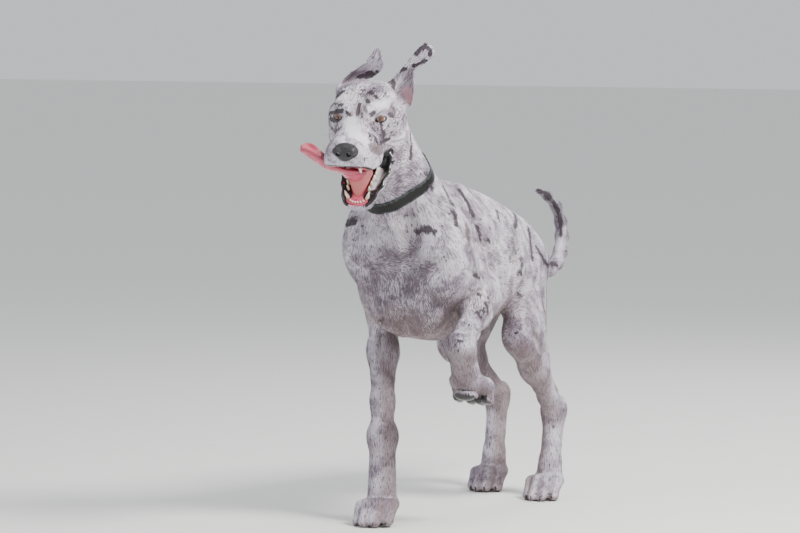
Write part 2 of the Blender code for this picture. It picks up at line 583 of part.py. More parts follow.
def jaw_hollows():
    """Floor of the mouth and the grooves between teeth and lips, in the jaw's frame."""
    return [
        Ball((0, -0.050, -0.068), (0.026, 0.072, 0.024), 0.006, cut=True),
        Limb((0.030, -0.104, -0.068), (0.045, -0.055, -0.060), 0.0050, 0.0085, 0.004, cut=True),
        Limb((0.045, -0.055, -0.060), (0.049, 0.010, -0.058), 0.0085, 0.0100, 0.004, cut=True),
        Limb((-0.0275, -0.100, -0.068), (-0.038, -0.040, -0.060), 0.0035, 0.0050, 0.004, cut=True),
    ]


def head_distance(points):
    """Distance to the head, for points in the head's frame."""
    in_jaw = to_jaw(points)
    result = join(measure(skull_shapes(), points), measure(jaw_shapes(), in_jaw), 0.012)
    cheeks = [Limb((side * 0.050, 0.044, -0.090), (side * 0.050, 0.062, -0.112), 0.016, 0.022, 0.022)
              for side in (-1, 1)]
    result = measure(cheeks, points, result)
    # The opening between the jaws, back to the corners of the mouth.
    roof = points[:, 2] - np.interp(points[:, 1], UPPER_LIP_Y, UPPER_LIP_Z)
    floor = np.interp(in_jaw[:, 1], *LIP_TOP) - in_jaw[:, 2]
    opening = np.maximum(np.maximum(roof, floor), points[:, 1] - MOUTH_BACK)
    result = carve(result, opening, 0.005)
    inside = [
        # Roof of the mouth, its back, and the place where the tongue lifts the lip.
        Ball((0, -0.060, -0.086), (0.031, 0.085, 0.030), 0.006, cut=True),
        Limb((0, -0.03, -0.094), (0, 0.040, -0.100), 0.034, 0.016, 0.012, cut=True),
        Limb((-0.030, -0.112, -0.096), (-0.090, -0.098, -0.076), 0.026, 0.034, 0.010, cut=True),
    ]
    result = measure(inside, points, result)
    return measure(jaw_hollows(), in_jaw, result)


def teeth(collection):
    """Lower canines, incisors and cheek teeth, and the upper canines."""
    pegs = []
    for side in (-1, 1):
        for i, (spot, height, radius, tip) in enumerate((CANINE_LOW, CANINE_UP)):
            root = vec(side * spot[0], spot[1], spot[2])
            if i == 0:
                lean = unit((side * 0.26, -0.02, 1.0))
                root, lean = from_jaw([root])[0], JAW_TURN @ lean
            else:
                lean = unit((side * 0.12, -0.16, -1.0))
            pegs.append(cone(f"canine_{i}", from_head(root), HEAD_TURN @ lean, height, radius, tip,
                             collection, 8, 0.15))
        for x, y, radius in INCISORS:
            root = from_jaw([(side * x, y, -0.085)])[0]
            lean = JAW_TURN @ unit((0, -0.25, 1.0))
            pegs.append(cone("incisor", from_head(root), HEAD_TURN @ lean, 0.013, radius, radius * 0.75,
                             collection, 6, 0.3))
        for y, radius in zip(CHEEK_TEETH_Y, CHEEK_TEETH_R):
            x = 0.0225 + 0.0125 * (y - CHEEK_TEETH_Y[0]) / (CHEEK_TEETH_Y[-1] - CHEEK_TEETH_Y[0])
            root = from_jaw([(side * x, y, -0.074)])[0]
            lean = JAW_TURN @ unit((side * 0.15, 0, 1.0))
            pegs.append(cone("cheek_tooth", from_head(root), HEAD_TURN @ lean, 0.010 + radius, radius, 0.0012,
                             collection, 6, 0.35))
    return pegs


def tongue_shapes():
    """The tongue's curled blade and the underside that runs down to the jaw, in the head's frame."""
    top, bottom, wide, narrow = TONGUE_UNDER
    return [Sheet(TONGUE, 0.0), Limb(top, bottom, wide, narrow, 0.006, (0, 1, 0.25), 0.36)]


def ears():
    return [Sheet(EAR_LEFT, 0.012), Sheet(EAR_RIGHT, 0.012)]


def dog_distance(points, with_ears=None):
    """Distance to the whole dog, without the tail beyond its root."""
    result = measure(body_shapes(), points)
    for joints in HINDLEG.values():
        result = measure(hindleg_shapes(joints) + hind_paw(joints)[0], points, result)
    for joints in FORELEG.values():
        result = measure(foreleg_shapes(joints) + fore_paw(joints)[0], points, result)
    in_head = to_head(points)
    head = head_distance(in_head)
    if with_ears:
        head = measure(with_ears, in_head, head)
    return join(result, head, 0.03)


def sample(distance, low, high, step):
    """Grid of distances, worked out finely only near the surface."""
    coarse = 4
    block = step * coarse
    low, high = vec(*low), vec(*high)
    count = np.ceil((high - low) / block).astype(int)
    axes = [low[i] + (np.arange(count[i]) + 0.5) * block - step / 2 for i in range(3)]
    centres = np.stack(np.meshgrid(*axes, indexing="ij"), -1).reshape(-1, 3)
    values = distance(centres).reshape(count)
    for axis in range(3):
        values = np.repeat(values, coarse, axis=axis)
    values = np.clip(values, -FAR, FAR)
    close = np.argwhere(np.abs(values) < block * 1.35)
    for part in np.array_split(close, max(1, len(close) // 250000)):
        values[tuple(part.T)] = distance(low + part * step)
    # A closed skin at the edge of the grid.
    for axis in range(3):
        for end in (0, -1):
            edge = [slice(None)] * 3
            edge[axis] = end
            values[tuple(edge)] = np.maximum(values[tuple(edge)], step / 2)
    return values


def fill_pinches(values, depth):
    """Fill grid corners where the surface would touch itself along an edge or at a point."""
    low, high = slice(None, -1), slice(1, None)
    for _ in range(20):
        inside = values < 0
        fill = np.zeros_like(inside)
        for first, second in ((0, 1), (0, 2), (1, 2)):
            def view(at_first, at_second, first=first, second=second):
                where = [slice(None)] * 3
                where[first], where[second] = at_first, at_second
                return tuple(where)
            a, b, c, d = view(low, low), view(high, low), view(high, high), view(low, high)
            fill[b] |= inside[a] & inside[c] & ~inside[b] & ~inside[d]
            fill[a] |= inside[b] & inside[d] & ~inside[a] & ~inside[c]
        ends = (low, high)
        corners = [(x, y, z) for x in (0, 1) for y in (0, 1) for z in (0, 1)]
        views = {corner: tuple(ends[i] for i in corner) for corner in corners}
        total = sum(inside[views[corner]].astype(np.int8) for corner in corners)
        for x, y, z in corners[:4]:
            here, far = views[(x, y, z)], views[(1 - x, 1 - y, 1 - z)]
            beside = views[(x, y, 1 - z)]
            fill[beside] |= (total == 2) & inside[here] & inside[far]
            fill[here] |= (total == 6) & ~inside[here] & ~inside[far]
        if not fill.any():
            return
        values[fill] = -depth


def net(values, low, step):
    """Closed mesh of quads at the zero level of a grid: one point in each crossed cell."""
    inside = values < 0
    count = np.zeros(np.array(values.shape) - 1, np.int8)
    corners = [(x, y, z) for x in (0, 1) for y in (0, 1) for z in (0, 1)]
    for x, y, z in corners:
        count += inside[x:x + count.shape[0], y:y + count.shape[1], z:z + count.shape[2]]
    cells = np.argwhere((count > 0) & (count < 8))
    index = np.full(count.shape, -1, np.int32)
    index[tuple(cells.T)] = np.arange(len(cells))
    total, hits = np.zeros((len(cells), 3)), np.zeros(len(cells))
    for axis in range(3):
        along = np.eye(3, dtype=int)[axis]
        for x, y, z in corners:
            offset = np.array((x, y, z))
            if offset[axis]:
                continue
            start = cells + offset
            a, b = values[tuple(start.T)], values[tuple((start + along).T)]
            crossed = np.flatnonzero((a < 0) != (b < 0))
            share = a[crossed] / (a[crossed] - b[crossed])
            total[crossed] += start[crossed] + share[:, None] * along
            hits[crossed] += 1
    points = vec(*low) + step * total / hits[:, None]
    faces = []
    for axis in range(3):
        along = np.eye(3, dtype=int)[axis]
        second, third = np.eye(3, dtype=int)[(axis + 1) % 3], np.eye(3, dtype=int)[(axis + 2) % 3]
        upper = [slice(1, None) if i == axis else slice(None) for i in range(3)]
        lower = [slice(None, -1) if i == axis else slice(None) for i in range(3)]
        edges = np.argwhere(inside[tuple(lower)] != inside[tuple(upper)])
        around = [index[tuple((edges - shift).T)] for shift in (0 * along, second, second + third, third)]
        quads = np.stack(around, 1)
        outward = inside[tuple(edges.T)]
        quads[~outward] = quads[~outward][:, ::-1]
        faces.append(quads)
    return points, np.concatenate(faces)


def material(name):
    """One plain finish by name."""
    found = bpy.data.materials.get(name)
    if found:
        return found
    colour, roughness = COATS[name]
    found = bpy.data.materials.new(name)
    found.use_nodes = True
    shader = found.node_tree.nodes["Principled BSDF"]
    shader.inputs["Base Color"].default_value = (*colour, 1)
    shader.inputs["Roughness"].default_value = roughness
    shader.inputs["Metallic"].default_value = 0
    return found


def new_object(name, points, faces, collection):
    mesh = bpy.data.meshes.new(name)
    mesh.from_pydata([tuple(point) for point in points], [], [tuple(face) for face in faces])
    made = bpy.data.objects.new(name, mesh)
    collection.objects.link(made)
    return made


def apply_modifiers(target):
    """Turn an object's evaluated shape into its mesh."""
    shape = bpy.data.meshes.new_from_object(target.evaluated_get(bpy.context.evaluated_depsgraph_get()))
    target.modifiers.clear()
    old, target.data = target.data, shape
    bpy.data.meshes.remove(old)


def combine(target, other, operation, remove=True):
    """Boolean of two closed meshes, applied."""
    cut = target.modifiers.new(operation, "BOOLEAN")
    cut.operation, cut.object, cut.solver = operation, other, "EXACT"
    apply_modifiers(target)
    if remove:
        bpy.data.objects.remove(other)


def fuse(target, pieces, name):
    """Join closed meshes to a piece in one Boolean union and remove them."""
    group = bpy.data.collections.new(name)
    bpy.context.scene.collection.children.link(group)
    for piece in pieces:
        for old in piece.users_collection:
            old.objects.unlink(piece)
        group.objects.link(piece)
    union = target.modifiers.new(name, "BOOLEAN")
    union.operation, union.operand_type, union.solver = "UNION", "COLLECTION", "EXACT"
    union.collection = group
    apply_modifiers(target)
    for piece in pieces:
        bpy.data.objects.remove(piece)
    bpy.data.collections.remove(group)


def keep_largest(target):
    """Drop every loose scrap but the largest closed surface."""
    shape = bmesh.new()
    shape.from_mesh(target.data)
    shape.verts.ensure_lookup_table()
    seen, groups = set(), []
    for vert in shape.verts:
        if vert.index in seen:
            continue
        group, queue = [], [vert]
        seen.add(vert.index)
        while queue:
            here = queue.pop()
            group.append(here)
            for edge in here.link_edges:
                there = edge.other_vert(here)
                if there.index not in seen:
                    seen.add(there.index)
                    queue.append(there)
        groups.append(group)
    groups.sort(key=len)
    bmesh.ops.delete(shape, geom=[vert for group in groups[:-1] for vert in group], context="VERTS")
    shape.to_mesh(target.data)
    shape.free()


def sculpt(name, distance, low, high, step, triangles, parts):
    """A closed, thinned mesh of the part of the field between two corners."""
    values = sample(distance, low, high, step)
    fill_pinches(values, step / 10)
    points, faces = net(values, low, step)
    made = new_object(name, points, faces, parts)
    keep_largest(made)
    thin = made.modifiers.new("thin", "DECIMATE")
    thin.ratio = min(1.0, triangles / (2 * len(made.data.polygons)))
    apply_modifiers(made)
    return made


def box_beyond(name, point, normal, size, collection, back=0.0):
    """A cube whose one face passes through the point; it lies on the side the normal points to."""
    normal = unit(normal)
    centre = vec(*point) + normal * (size / 2 - back)
    bpy.ops.mesh.primitive_cube_add(size=size)
    made = bpy.context.object
    made.name = name
    turn = Vector(normal).to_track_quat("Z", "Y").to_matrix().to_4x4()
    made.data.transform(Matrix.Translation(Vector(centre)) @ turn)
    for old in made.users_collection:
        old.objects.unlink(made)
    collection.objects.link(made)
    made.hide_render, made.display_type = True, "WIRE"
    return made


def stack(name, levels, collection):
    """A closed tower of rectangles, each given as height, x range and y range."""
    points, faces = [], []
    for z, x0, x1, y0, y1 in levels:
        points += [(x0, y0, z), (x1, y0, z), (x1, y1, z), (x0, y1, z)]
    for i in range(len(levels) - 1):
        for j in range(4):
            a, b = 4 * i + j, 4 * i + (j + 1) % 4
            faces.append((a, b, b + 4, a + 4))
    faces.append((3, 2, 1, 0))
    last = 4 * (len(levels) - 1)
    faces.append((last, last + 1, last + 2, last + 3))
    made = new_object(name, points, faces, collection)
    made.hide_render, made.display_type = True, "WIRE"
    return made


def leg_cutter(name, side, arch, foot, inner, grow, collection):
    """Block round a whole leg: an arch over its top, upright sides, a slanted inner face."""
    middle_y, middle_z, radius_y, radius_z = arch
    foot_front, foot_back, foot_top = foot
    inner_at, inner_slope, inner_least = inner
    heights = [0.0, foot_top * 0.5, foot_top]
    steps = 9
    bend = foot_top + 0.012
    heights += [bend + (middle_z + radius_z * math.sin(math.pi / 2 * i / steps) - bend) for i in range(steps)]
    heights[-1] = middle_z + radius_z * 0.985
    levels = []
    for z in heights:
        if z <= foot_top:
            front, back = foot_front, foot_back
        else:
            rise = max(0.0, (z - middle_z) / radius_z)
            half = radius_y * math.sqrt(max(0.0, 1 - rise * rise))
            front, back = middle_y - half, middle_y + half
        near = max(inner_least, inner_at + inner_slope * (z - middle_z)) - grow
        edges = sorted((side * near, side * 0.30))
        low = z if z == 0.0 else z + (grow if z == heights[-1] else 0)
        levels.append((low, edges[0], edges[1], front - grow, back + grow))
    if grow > 0:
        levels[0] = (-0.02, *levels[0][1:])
    return stack(name, levels, collection)


def spread(target, by):
    """Push every point of a closed mesh outwards along its normal."""
    shape = bmesh.new()
    shape.from_mesh(target.data)
    shape.normal_update()
    for vert, normal in [(vert, vert.normal.copy()) for vert in shape.verts]:
        vert.co += normal * by
    shape.to_mesh(target.data)
    shape.free()


def grown_copy(target, by, collection):
    """A larger copy of a piece, to cut its neighbour with."""
    made = target.copy()
    made.data = target.data.copy()
    made.name = "cut_by_" + target.name
    collection.objects.link(made)
    spread(made, by)
    made.hide_render, made.display_type = True, "WIRE"
    return made


def cone(name, root, direction, length, radius, tip_radius, collection, sides=8, sink=0.35):
    """A tapered peg whose root is sunk below the surface."""
    direction = unit(direction)
    bpy.ops.mesh.primitive_cone_add(vertices=sides, radius1=radius, radius2=tip_radius, depth=length)
    made = bpy.context.object
    made.name = name
    turn = Vector(direction).to_track_quat("Z", "Y").to_matrix().to_4x4()
    place = Matrix.Translation(Vector(vec(*root) + direction * length * (0.5 - sink)))
    made.data.transform(place @ turn)
    for old in made.users_collection:
        old.objects.unlink(made)
    collection.objects.link(made)
    return made


def finish(target, coat):
    """Smooth shading and the piece's own plain material."""
    target.data.materials.clear()
    target.data.materials.append(material(coat))
    target.data.shade_smooth()
    target.data.set_sharp_from_angle(angle=math.radians(40))


def build_head(parts, cutters, with_ears):
    """Head, lower jaw, ears, nose, eyes and tongue."""

    def whole_head(points):
        return dog_distance(points, with_ears)

    head = sculpt("head", whole_head, (-0.16, -0.40, 0.62), (0.16, 0.02, 1.08), STEP_HEAD,
                  BUDGET["head"], parts)
    fuse(head, teeth(cutters), "teeth")
    behind = box_beyond("behind_head", HEAD_CUT_AT, -HEAD_CUT_NORMAL, 0.5, cutters, GAP / 2)
    combine(head, behind, "DIFFERENCE")
    keep_largest(head)
    tongue_parts = tongue_shapes()
    low, high = from_head((-0.05, -0.06, -0.09)) - 0.12, from_head((-0.05, -0.06, -0.09)) + 0.12
    tongue = sculpt("tongue", lambda points: measure(tongue_parts, to_head(points)), low, high,
                    STEP_FINE, BUDGET["tongue"], parts)
    combine(head, grown_copy(tongue, GAP, cutters), "DIFFERENCE")
    nose_shapes = [Ball(at, radii, 0.006, cut=cut) for at, radii, cut in NOSE]
    low, high = from_head(NOSE[0][0]) - 0.045, from_head(NOSE[0][0]) + 0.045
    nose = sculpt("nose", lambda points: measure(nose_shapes, to_head(points)), low, high,
                  STEP_FINE, BUDGET["nose"], parts)
    combine(head, grown_copy(nose, GAP, cutters), "DIFFERENCE")
    finish(tongue, "tongue")
    finish(nose, "nose")
    for name, side in (("left", 1), ("right", -1)):
        centre = from_head((side * EYE[0], EYE[1], EYE[2]))
        for made_name, radius in (("eye_" + name, EYE_R), ("socket_" + name, EYE_R + GAP)):
            bpy.ops.mesh.primitive_uv_sphere_add(radius=radius, segments=16, ring_count=10)
            ball = bpy.context.object
            ball.name = made_name
            ball.data.transform(Matrix.Translation(Vector(centre)))
            for old in ball.users_collection:
                old.objects.unlink(ball)
            if made_name.startswith("eye"):
                parts.objects.link(ball)
                finish(ball, "eye")
            else:
                cutters.objects.link(ball)
                combine(head, ball, "DIFFERENCE")
    keep_largest(head)
    # The jaw is parted from the head; each ear is made finer from the same field.
    jaw = head.copy()
    jaw.data = head.data.copy()
    jaw.name = "jaw"
    parts.objects.link(jaw)
    pieces = [(jaw, JAW_CUT)]
    for name, place, rows in (("ear_left", EAR_CUT_LEFT, EAR_LEFT), ("ear_right", EAR_CUT_RIGHT, EAR_RIGHT)):
        spots = np.array([from_head(spot) for row in rows for spot in row[:3]])
        low, high = spots.min(0) - 0.02, spots.max(0) + 0.02
        pieces.append((sculpt(name, whole_head, low, high, STEP_FINE, BUDGET["ear"], parts), place))
    for piece, place in pieces:
        combine(piece, outline_block("keep_" + piece.name, place, -GAP / 2, cutters), "INTERSECT")
        keep_largest(piece)
        combine(head, outline_block("drop_" + piece.name, place, GAP / 2, cutters), "DIFFERENCE")
        keep_largest(head)
        finish(piece, "coat")
    finish(head, "coat")


def outline_block(name, place, grow, collection):
    """A block in the head's frame: an outline in Y and Z pushed out sideways, made larger by grow."""
    x0, x1, outline = place
    middle = np.mean(outline, axis=0)
    ring = []
    count = len(outline)
    for i, (y, z) in enumerate(outline):
        before, here, after = vec(*outline[i - 1]), vec(y, z), vec(*outline[(i + 1) % count])
        first, second = unit(here - before), unit(after - here)
        out_first, out_second = vec(first[1], -first[0]), vec(second[1], -second[0])
        if out_first @ (here - middle) < 0 and out_second @ (here - middle) < 0:
            out_first, out_second = -out_first, -out_second
        corner = unit(out_first + out_second)
        ring.append(here + corner * grow / max(0.3, corner @ out_first))
    points = [from_head((x, y, z)) for x in (x0 - grow, x1 + grow) for y, z in ring]
    faces = [tuple(range(count)), tuple(reversed(range(count, 2 * count)))]
    for i in range(count):
        j = (i + 1) % count
        faces.append((j, i, i + count, j + count))
    made = new_object(name, points, faces, collection)
    shape = bmesh.new()
    shape.from_mesh(made.data)
    bmesh.ops.recalc_face_normals(shape, faces=shape.faces)
    shape.to_mesh(made.data)
    shape.free()
    made.hide_render, made.display_type = True, "WIRE"
    return made


def build_collar(parts, cutters):
    """Collar band round the neck, fitted to its surface, and a buckle with a ring."""
    axis = unit(COLLAR_AXIS)
    across = unit(np.cross(axis, (0, 0, 1)))
    ahead = unit(np.cross(across, axis))
    count = 44
    reach = np.linspace(0.02, 0.16, 141)
    radii = []
    for i in range(count):
        angle = 2 * math.pi * i / count
        ray = across * math.cos(angle) + ahead * math.sin(angle)
        away = measure(body_shapes(), vec(*COLLAR_AT) + reach[:, None] * ray)
        first = int(np.argmax(away > 0))
        share = away[first - 1] / (away[first - 1] - away[first])
        radii.append(reach[first - 1] + share * (reach[1] - reach[0]))
    radii = np.array(radii)
    for _ in range(3):
        radii = (np.roll(radii, 1) + 2 * radii + np.roll(radii, -1)) / 4
    points, faces = [], []
    inner, outer, half = -COLLAR_SINK, COLLAR_THICK - COLLAR_SINK, COLLAR_WIDE / 2
    profile = [(inner, -half), (inner, half), (outer - 0.0008, half), (outer, half - 0.0012),
               (outer, -half + 0.0012), (outer - 0.0008, -half)]
    for i in range(count):
        angle = 2 * math.pi * i / count
        ray = across * math.cos(angle) + ahead * math.sin(angle)
        points += [vec(*COLLAR_AT) + ray * (radii[i] + out) + axis * up for out, up in profile]
    ring = len(profile)
    for i in range(count):
        for j in range(ring):
            a, b = i * ring + j, i * ring + (j + 1) % ring
            c, d = ((i + 1) % count) * ring + (j + 1) % ring, ((i + 1) % count) * ring + j
            faces.append((a, b, c, d))
    band = new_object("collar_band", points, faces, parts)
    shape = bmesh.new()
    shape.from_mesh(band.data)
    bmesh.ops.recalc_face_normals(shape, faces=shape.faces)
    shape.to_mesh(band.data)
    shape.free()
    finish(band, "collar")
    return band


def build_buckle(band, neck, parts, cutters):
    """Buckle frame on the right of the neck, seated on the band."""
    axis = unit(COLLAR_AXIS)
    across = unit(np.cross(axis, (0, 0, 1)))
    ahead = unit(np.cross(across, axis))
    angle = math.radians(BUCKLE_TURN)
    ray = unit(across * math.cos(angle) + ahead * math.sin(angle))
    spots = np.array([vert.co for vert in band.data.vertices]) - vec(*COLLAR_AT)
    reach = (spots @ ray).max()
    along = unit(np.cross(axis, ray))
    turn = np.stack([along, axis, ray], axis=1)
    middle = vec(*COLLAR_AT) + ray * (reach + 0.0015)
    made = []
    for name, size in (("collar_buckle", BUCKLE_SIZE), ("buckle_hole", BUCKLE_HOLE)):
        bpy.ops.mesh.primitive_cube_add(size=1)
        block = bpy.context.object
        block.name = name
        block.data.transform(Matrix.Diagonal((*size, 1)))
        place = Matrix([(*turn[i], middle[i]) for i in range(3)] + [(0, 0, 0, 1)])
        block.data.transform(place)
        for old in block.users_collection:
            old.objects.unlink(block)
        (parts if name == "collar_buckle" else cutters).objects.link(block)
        made.append(block)
    frame, hole = made
    combine(frame, hole, "DIFFERENCE")
    combine(frame, grown_copy(band, GAP, cutters), "DIFFERENCE")
    combine(frame, grown_copy(neck, GAP, cutters), "DIFFERENCE")
    keep_largest(frame)
    finish(frame, "buckle")


def build_leg(name, shapes_and_claws, cutter, low, high, triangles, distance, parts, cutters):
    """One leg, cut from the dog by its block, with its claws fused on."""
    leg = sculpt(name, distance, low, high, STEP_LEG, triangles, parts)
    _, claws = shapes_and_claws
    pegs = [cone(f"claw_{i}", root, direction, CLAW_LONG, CLAW_R, CLAW_R * 0.3, cutters, 6, 0.2)
            for i, (root, direction) in enumerate(claws)]
    fuse(leg, pegs, name + "_claws")
    combine(leg, cutter(-GAP / 2), "INTERSECT")
    keep_largest(leg)
    finish(leg, "coat")
    return leg


def main():
    for old in list(bpy.data.objects):
        bpy.data.objects.remove(old)
    parts = bpy.data.collections.new("great_dane")
    cutters = bpy.data.collections.new("cutters")
    bpy.context.scene.collection.children.link(parts)
    bpy.context.scene.collection.children.link(cutters)
    with_ears = ears()

    build_head(parts, cutters, with_ears)

    neck = sculpt("neck", dog_distance, (-0.20, -0.17, 0.52), (0.20, 0.20, 0.99), STEP_BODY,
                  BUDGET["neck"], parts)
    combine(neck, box_beyond("head_side", HEAD_CUT_AT, HEAD_CUT_NORMAL, 0.5, cutters, GAP / 2), "DIFFERENCE")
    below = box_beyond("torso_side", NECK_CUT_AT, -NECK_CUT_NORMAL, 0.5, cutters, GAP / 2)
    combine(neck, below, "DIFFERENCE")
    keep_largest(neck)
    band = build_collar(parts, cutters)
    combine(neck, grown_copy(band, GAP, cutters), "DIFFERENCE")
    keep_largest(neck)
    build_buckle(band, neck, parts, cutters)
    finish(neck, "coat")

    torso_tail = tail_shapes(TAIL[:3])
    torso = sculpt("torso", lambda points: measure(torso_tail, points, dog_distance(points)),
                   (-0.22, -0.16, 0.30), (0.22, 0.80, 0.80), STEP_BODY, BUDGET["torso"], parts)
    combine(torso, box_beyond("neck_side", NECK_CUT_AT, NECK_CUT_NORMAL, 0.6, cutters, GAP / 2), "DIFFERENCE")
    keep_largest(torso)

    legs = []
    for name, side in (("left", 1), ("right", -1)):
        for kind in ("foreleg", "hindleg"):
            joints = (FORELEG if kind == "foreleg" else HINDLEG)[name]
            made_paw = fore_paw(joints) if kind == "foreleg" else hind_paw(joints)
            spec = LEG_BLOCK[kind]

            def cutter(grow, spec=spec, side=side, kind=kind, name=name):
                return leg_cutter(f"{kind}_{name}_block", side, *spec, grow, cutters)

            low, high = LEG_RANGE[kind]
            low, high = ((0.0 if side > 0 else -0.24, *low), (0.24 if side > 0 else 0.0, *high))
            if kind == "foreleg" and name == "right":
                high = (0.06, *high[1:])
            combine(torso, cutter(GAP / 2), "DIFFERENCE")
            legs.append(build_leg(f"{kind}_{name}", made_paw, cutter, low, high, BUDGET[kind],
                                  dog_distance, parts, cutters))
    keep_largest(torso)

    tail_field = [Limb((0, 0.655, 0.575), TAIL[1][0], 0.034, 0.022, 0.03), *tail_shapes(TAIL)]
    tail = sculpt("tail", lambda points: measure(tail_field, points), (-0.07, 0.66, 0.44), (0.07, 0.90, 0.74),
                  STEP_LEG, BUDGET["tail"], parts)
    lengths = ["tail_root", "tail_middle", "tail_tip"]
    cuts = []
    for place in TAIL_CUTS:
        here, after = vec(*TAIL[place][0]), vec(*TAIL[place + 1][0])
        cuts.append((here, unit(after - vec(*TAIL[place - 1][0]))))
    combine(torso, box_beyond("tail_side", cuts[0][0], cuts[0][1], 0.12, cutters, GAP / 2), "DIFFERENCE")
    keep_largest(torso)
    finish(torso, "coat")
    combine(tail, box_beyond("body_side", cuts[0][0], -cuts[0][1], 0.12, cutters, GAP / 2), "DIFFERENCE")
    keep_largest(tail)
    for i, name in enumerate(lengths):
        piece = tail.copy()
        piece.data = tail.data.copy()
        piece.name = name
        parts.objects.link(piece)
        if i > 0:
            combine(piece, box_beyond("before", cuts[i][0], -cuts[i][1], 0.4, cutters, GAP / 2), "DIFFERENCE")
        if i < len(lengths) - 1:
            after = box_beyond("after", cuts[i + 1][0], cuts[i + 1][1], 0.4, cutters, GAP / 2)
            combine(piece, after, "DIFFERENCE")
        keep_largest(piece)
        finish(piece, "coat")
    bpy.data.objects.remove(tail)

    # The middle of the footprint becomes the origin.
    corners = np.array([made.matrix_world @ vert.co for made in parts.objects for vert in made.data.vertices])
    middle = (corners.min(0) + corners.max(0)) / 2
    for made in parts.objects:
        made.data.transform(Matrix.Translation(Vector((-middle[0], -middle[1], 0))))
    for made in parts.objects:
        print(made.name, sum(len(face.vertices) - 2 for face in made.data.polygons))


if __name__ == "__main__":
    main()
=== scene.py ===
"""Dresses the great dane model: skin, short merle coat, face, mouth, paws, collar, light and camera.

The animal's form is a smooth blend of limbs, balls, lofted sections and thin sheets, in working
coordinates that share the solids' scale and axes. Workbench.shift moves them onto the solids.
"""

import logging
import math
from dataclasses import dataclass, field
from enum import Enum
from typing import Callable, Iterable, Optional, Sequence

import bmesh
import bpy
import numpy as np
from mathutils import Matrix, Vector
from mathutils.kdtree import KDTree

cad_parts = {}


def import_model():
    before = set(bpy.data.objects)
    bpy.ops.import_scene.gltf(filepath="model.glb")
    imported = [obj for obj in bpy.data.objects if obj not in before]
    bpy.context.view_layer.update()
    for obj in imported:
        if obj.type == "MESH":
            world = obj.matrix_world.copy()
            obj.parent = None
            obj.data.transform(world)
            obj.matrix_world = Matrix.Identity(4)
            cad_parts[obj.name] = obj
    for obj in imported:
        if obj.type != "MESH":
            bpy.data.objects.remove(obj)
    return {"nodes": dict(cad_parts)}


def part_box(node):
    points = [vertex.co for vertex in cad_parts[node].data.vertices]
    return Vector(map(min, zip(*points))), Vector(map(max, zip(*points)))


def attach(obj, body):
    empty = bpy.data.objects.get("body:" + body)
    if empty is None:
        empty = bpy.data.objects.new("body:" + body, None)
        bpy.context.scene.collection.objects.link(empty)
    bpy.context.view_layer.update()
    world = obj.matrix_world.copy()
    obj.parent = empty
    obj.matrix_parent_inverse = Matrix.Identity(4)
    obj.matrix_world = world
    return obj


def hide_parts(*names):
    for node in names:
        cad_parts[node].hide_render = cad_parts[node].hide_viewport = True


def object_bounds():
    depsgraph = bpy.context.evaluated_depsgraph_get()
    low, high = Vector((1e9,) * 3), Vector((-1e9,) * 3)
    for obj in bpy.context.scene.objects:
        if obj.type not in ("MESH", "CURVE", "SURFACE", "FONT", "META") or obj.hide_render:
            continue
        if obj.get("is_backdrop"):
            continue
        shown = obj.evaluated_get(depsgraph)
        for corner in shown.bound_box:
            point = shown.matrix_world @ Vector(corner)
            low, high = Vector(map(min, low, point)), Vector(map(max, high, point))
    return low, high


Array = np.ndarray
Point = Sequence[float]
Distance = Callable[[Array], Array]
Socket = bpy.types.NodeSocket
Piece = bpy.types.Object

LOG = logging.getLogger("great dane")
SEED = 12
# How far a shape still counts when blending, and the cap on stored distances.
NEAR = 0.075
FAR = 0.05
# Fewer points than this are measured all at once.
FEW = 3000


def vec(*values: float) -> Array:
    """A vector of floats."""
    return np.array(values, float)


def unit(values: Point) -> Array:
    """The same direction, one metre long."""
    values = np.asarray(values, float)
    return values / max(float(np.linalg.norm(values)), 1e-12)


def length_of(rows: Array) -> Array:
    """The length of each row."""
    return np.linalg.norm(rows, axis=1)


def between(start: Point, end: Point, share: float) -> Array:
    """The point a share of the way from start to end."""
    return vec(*start) + (vec(*end) - vec(*start)) * share


def soft_step(values: Array, low: float, high: float) -> Array:
    """Smooth rise from 0 at low to 1 at high; high may be the smaller."""
    t = np.clip((values - low) / (high - low), 0, 1)
    return t * t * (3 - 2 * t)


def smooth_curve(keys: Sequence[float], values: Sequence) -> Callable[[Array], Array]:
    """A smooth curve through values at keys.

    Args:
        keys: rising places.
        values: a number or a row of numbers at each place.

    Returns:
        A function of places.
    """
    keys, values = np.asarray(keys, float), np.asarray(values, float)
    spans = np.diff(keys)
    rise = np.diff(values, axis=0) / (spans if values.ndim == 1 else spans[:, None])
    slopes = np.zeros_like(values)
    slopes[0], slopes[-1] = rise[0], rise[-1]
    for i in range(1, len(keys) - 1):
        slopes[i] = (rise[i - 1] * spans[i] + rise[i] * spans[i - 1]) / (spans[i] + spans[i - 1])

    def at(t: Array) -> Array:
        """Values at places t."""
        t = np.clip(t, keys[0], keys[-1])
        i = np.clip(np.searchsorted(keys, t) - 1, 0, len(spans) - 1)
        s, span = (t - keys[i]) / spans[i], spans[i]
        if values.ndim == 2:
            s, span = s[:, None], span[:, None]
        return (values[i] * (2 * s**3 - 3 * s**2 + 1) + values[i + 1] * (3 * s**2 - 2 * s**3)
                + slopes[i] * span * (s**3 - 2 * s**2 + s) + slopes[i + 1] * span * (s**3 - s**2))

    return at


def join(a: Array, b: Array, blend: float) -> Array:
    """Union of two distances, rounded where they meet."""
    if blend <= 0:
        return np.minimum(a, b)
    h = np.maximum(blend - np.abs(a - b), 0) / blend
    return np.minimum(a, b) - h * h * blend / 4


def carve(a: Array, b: Array, blend: float) -> Array:
    """Distance a with b taken away, rounded at the rim."""
    return -join(-a, b, blend)


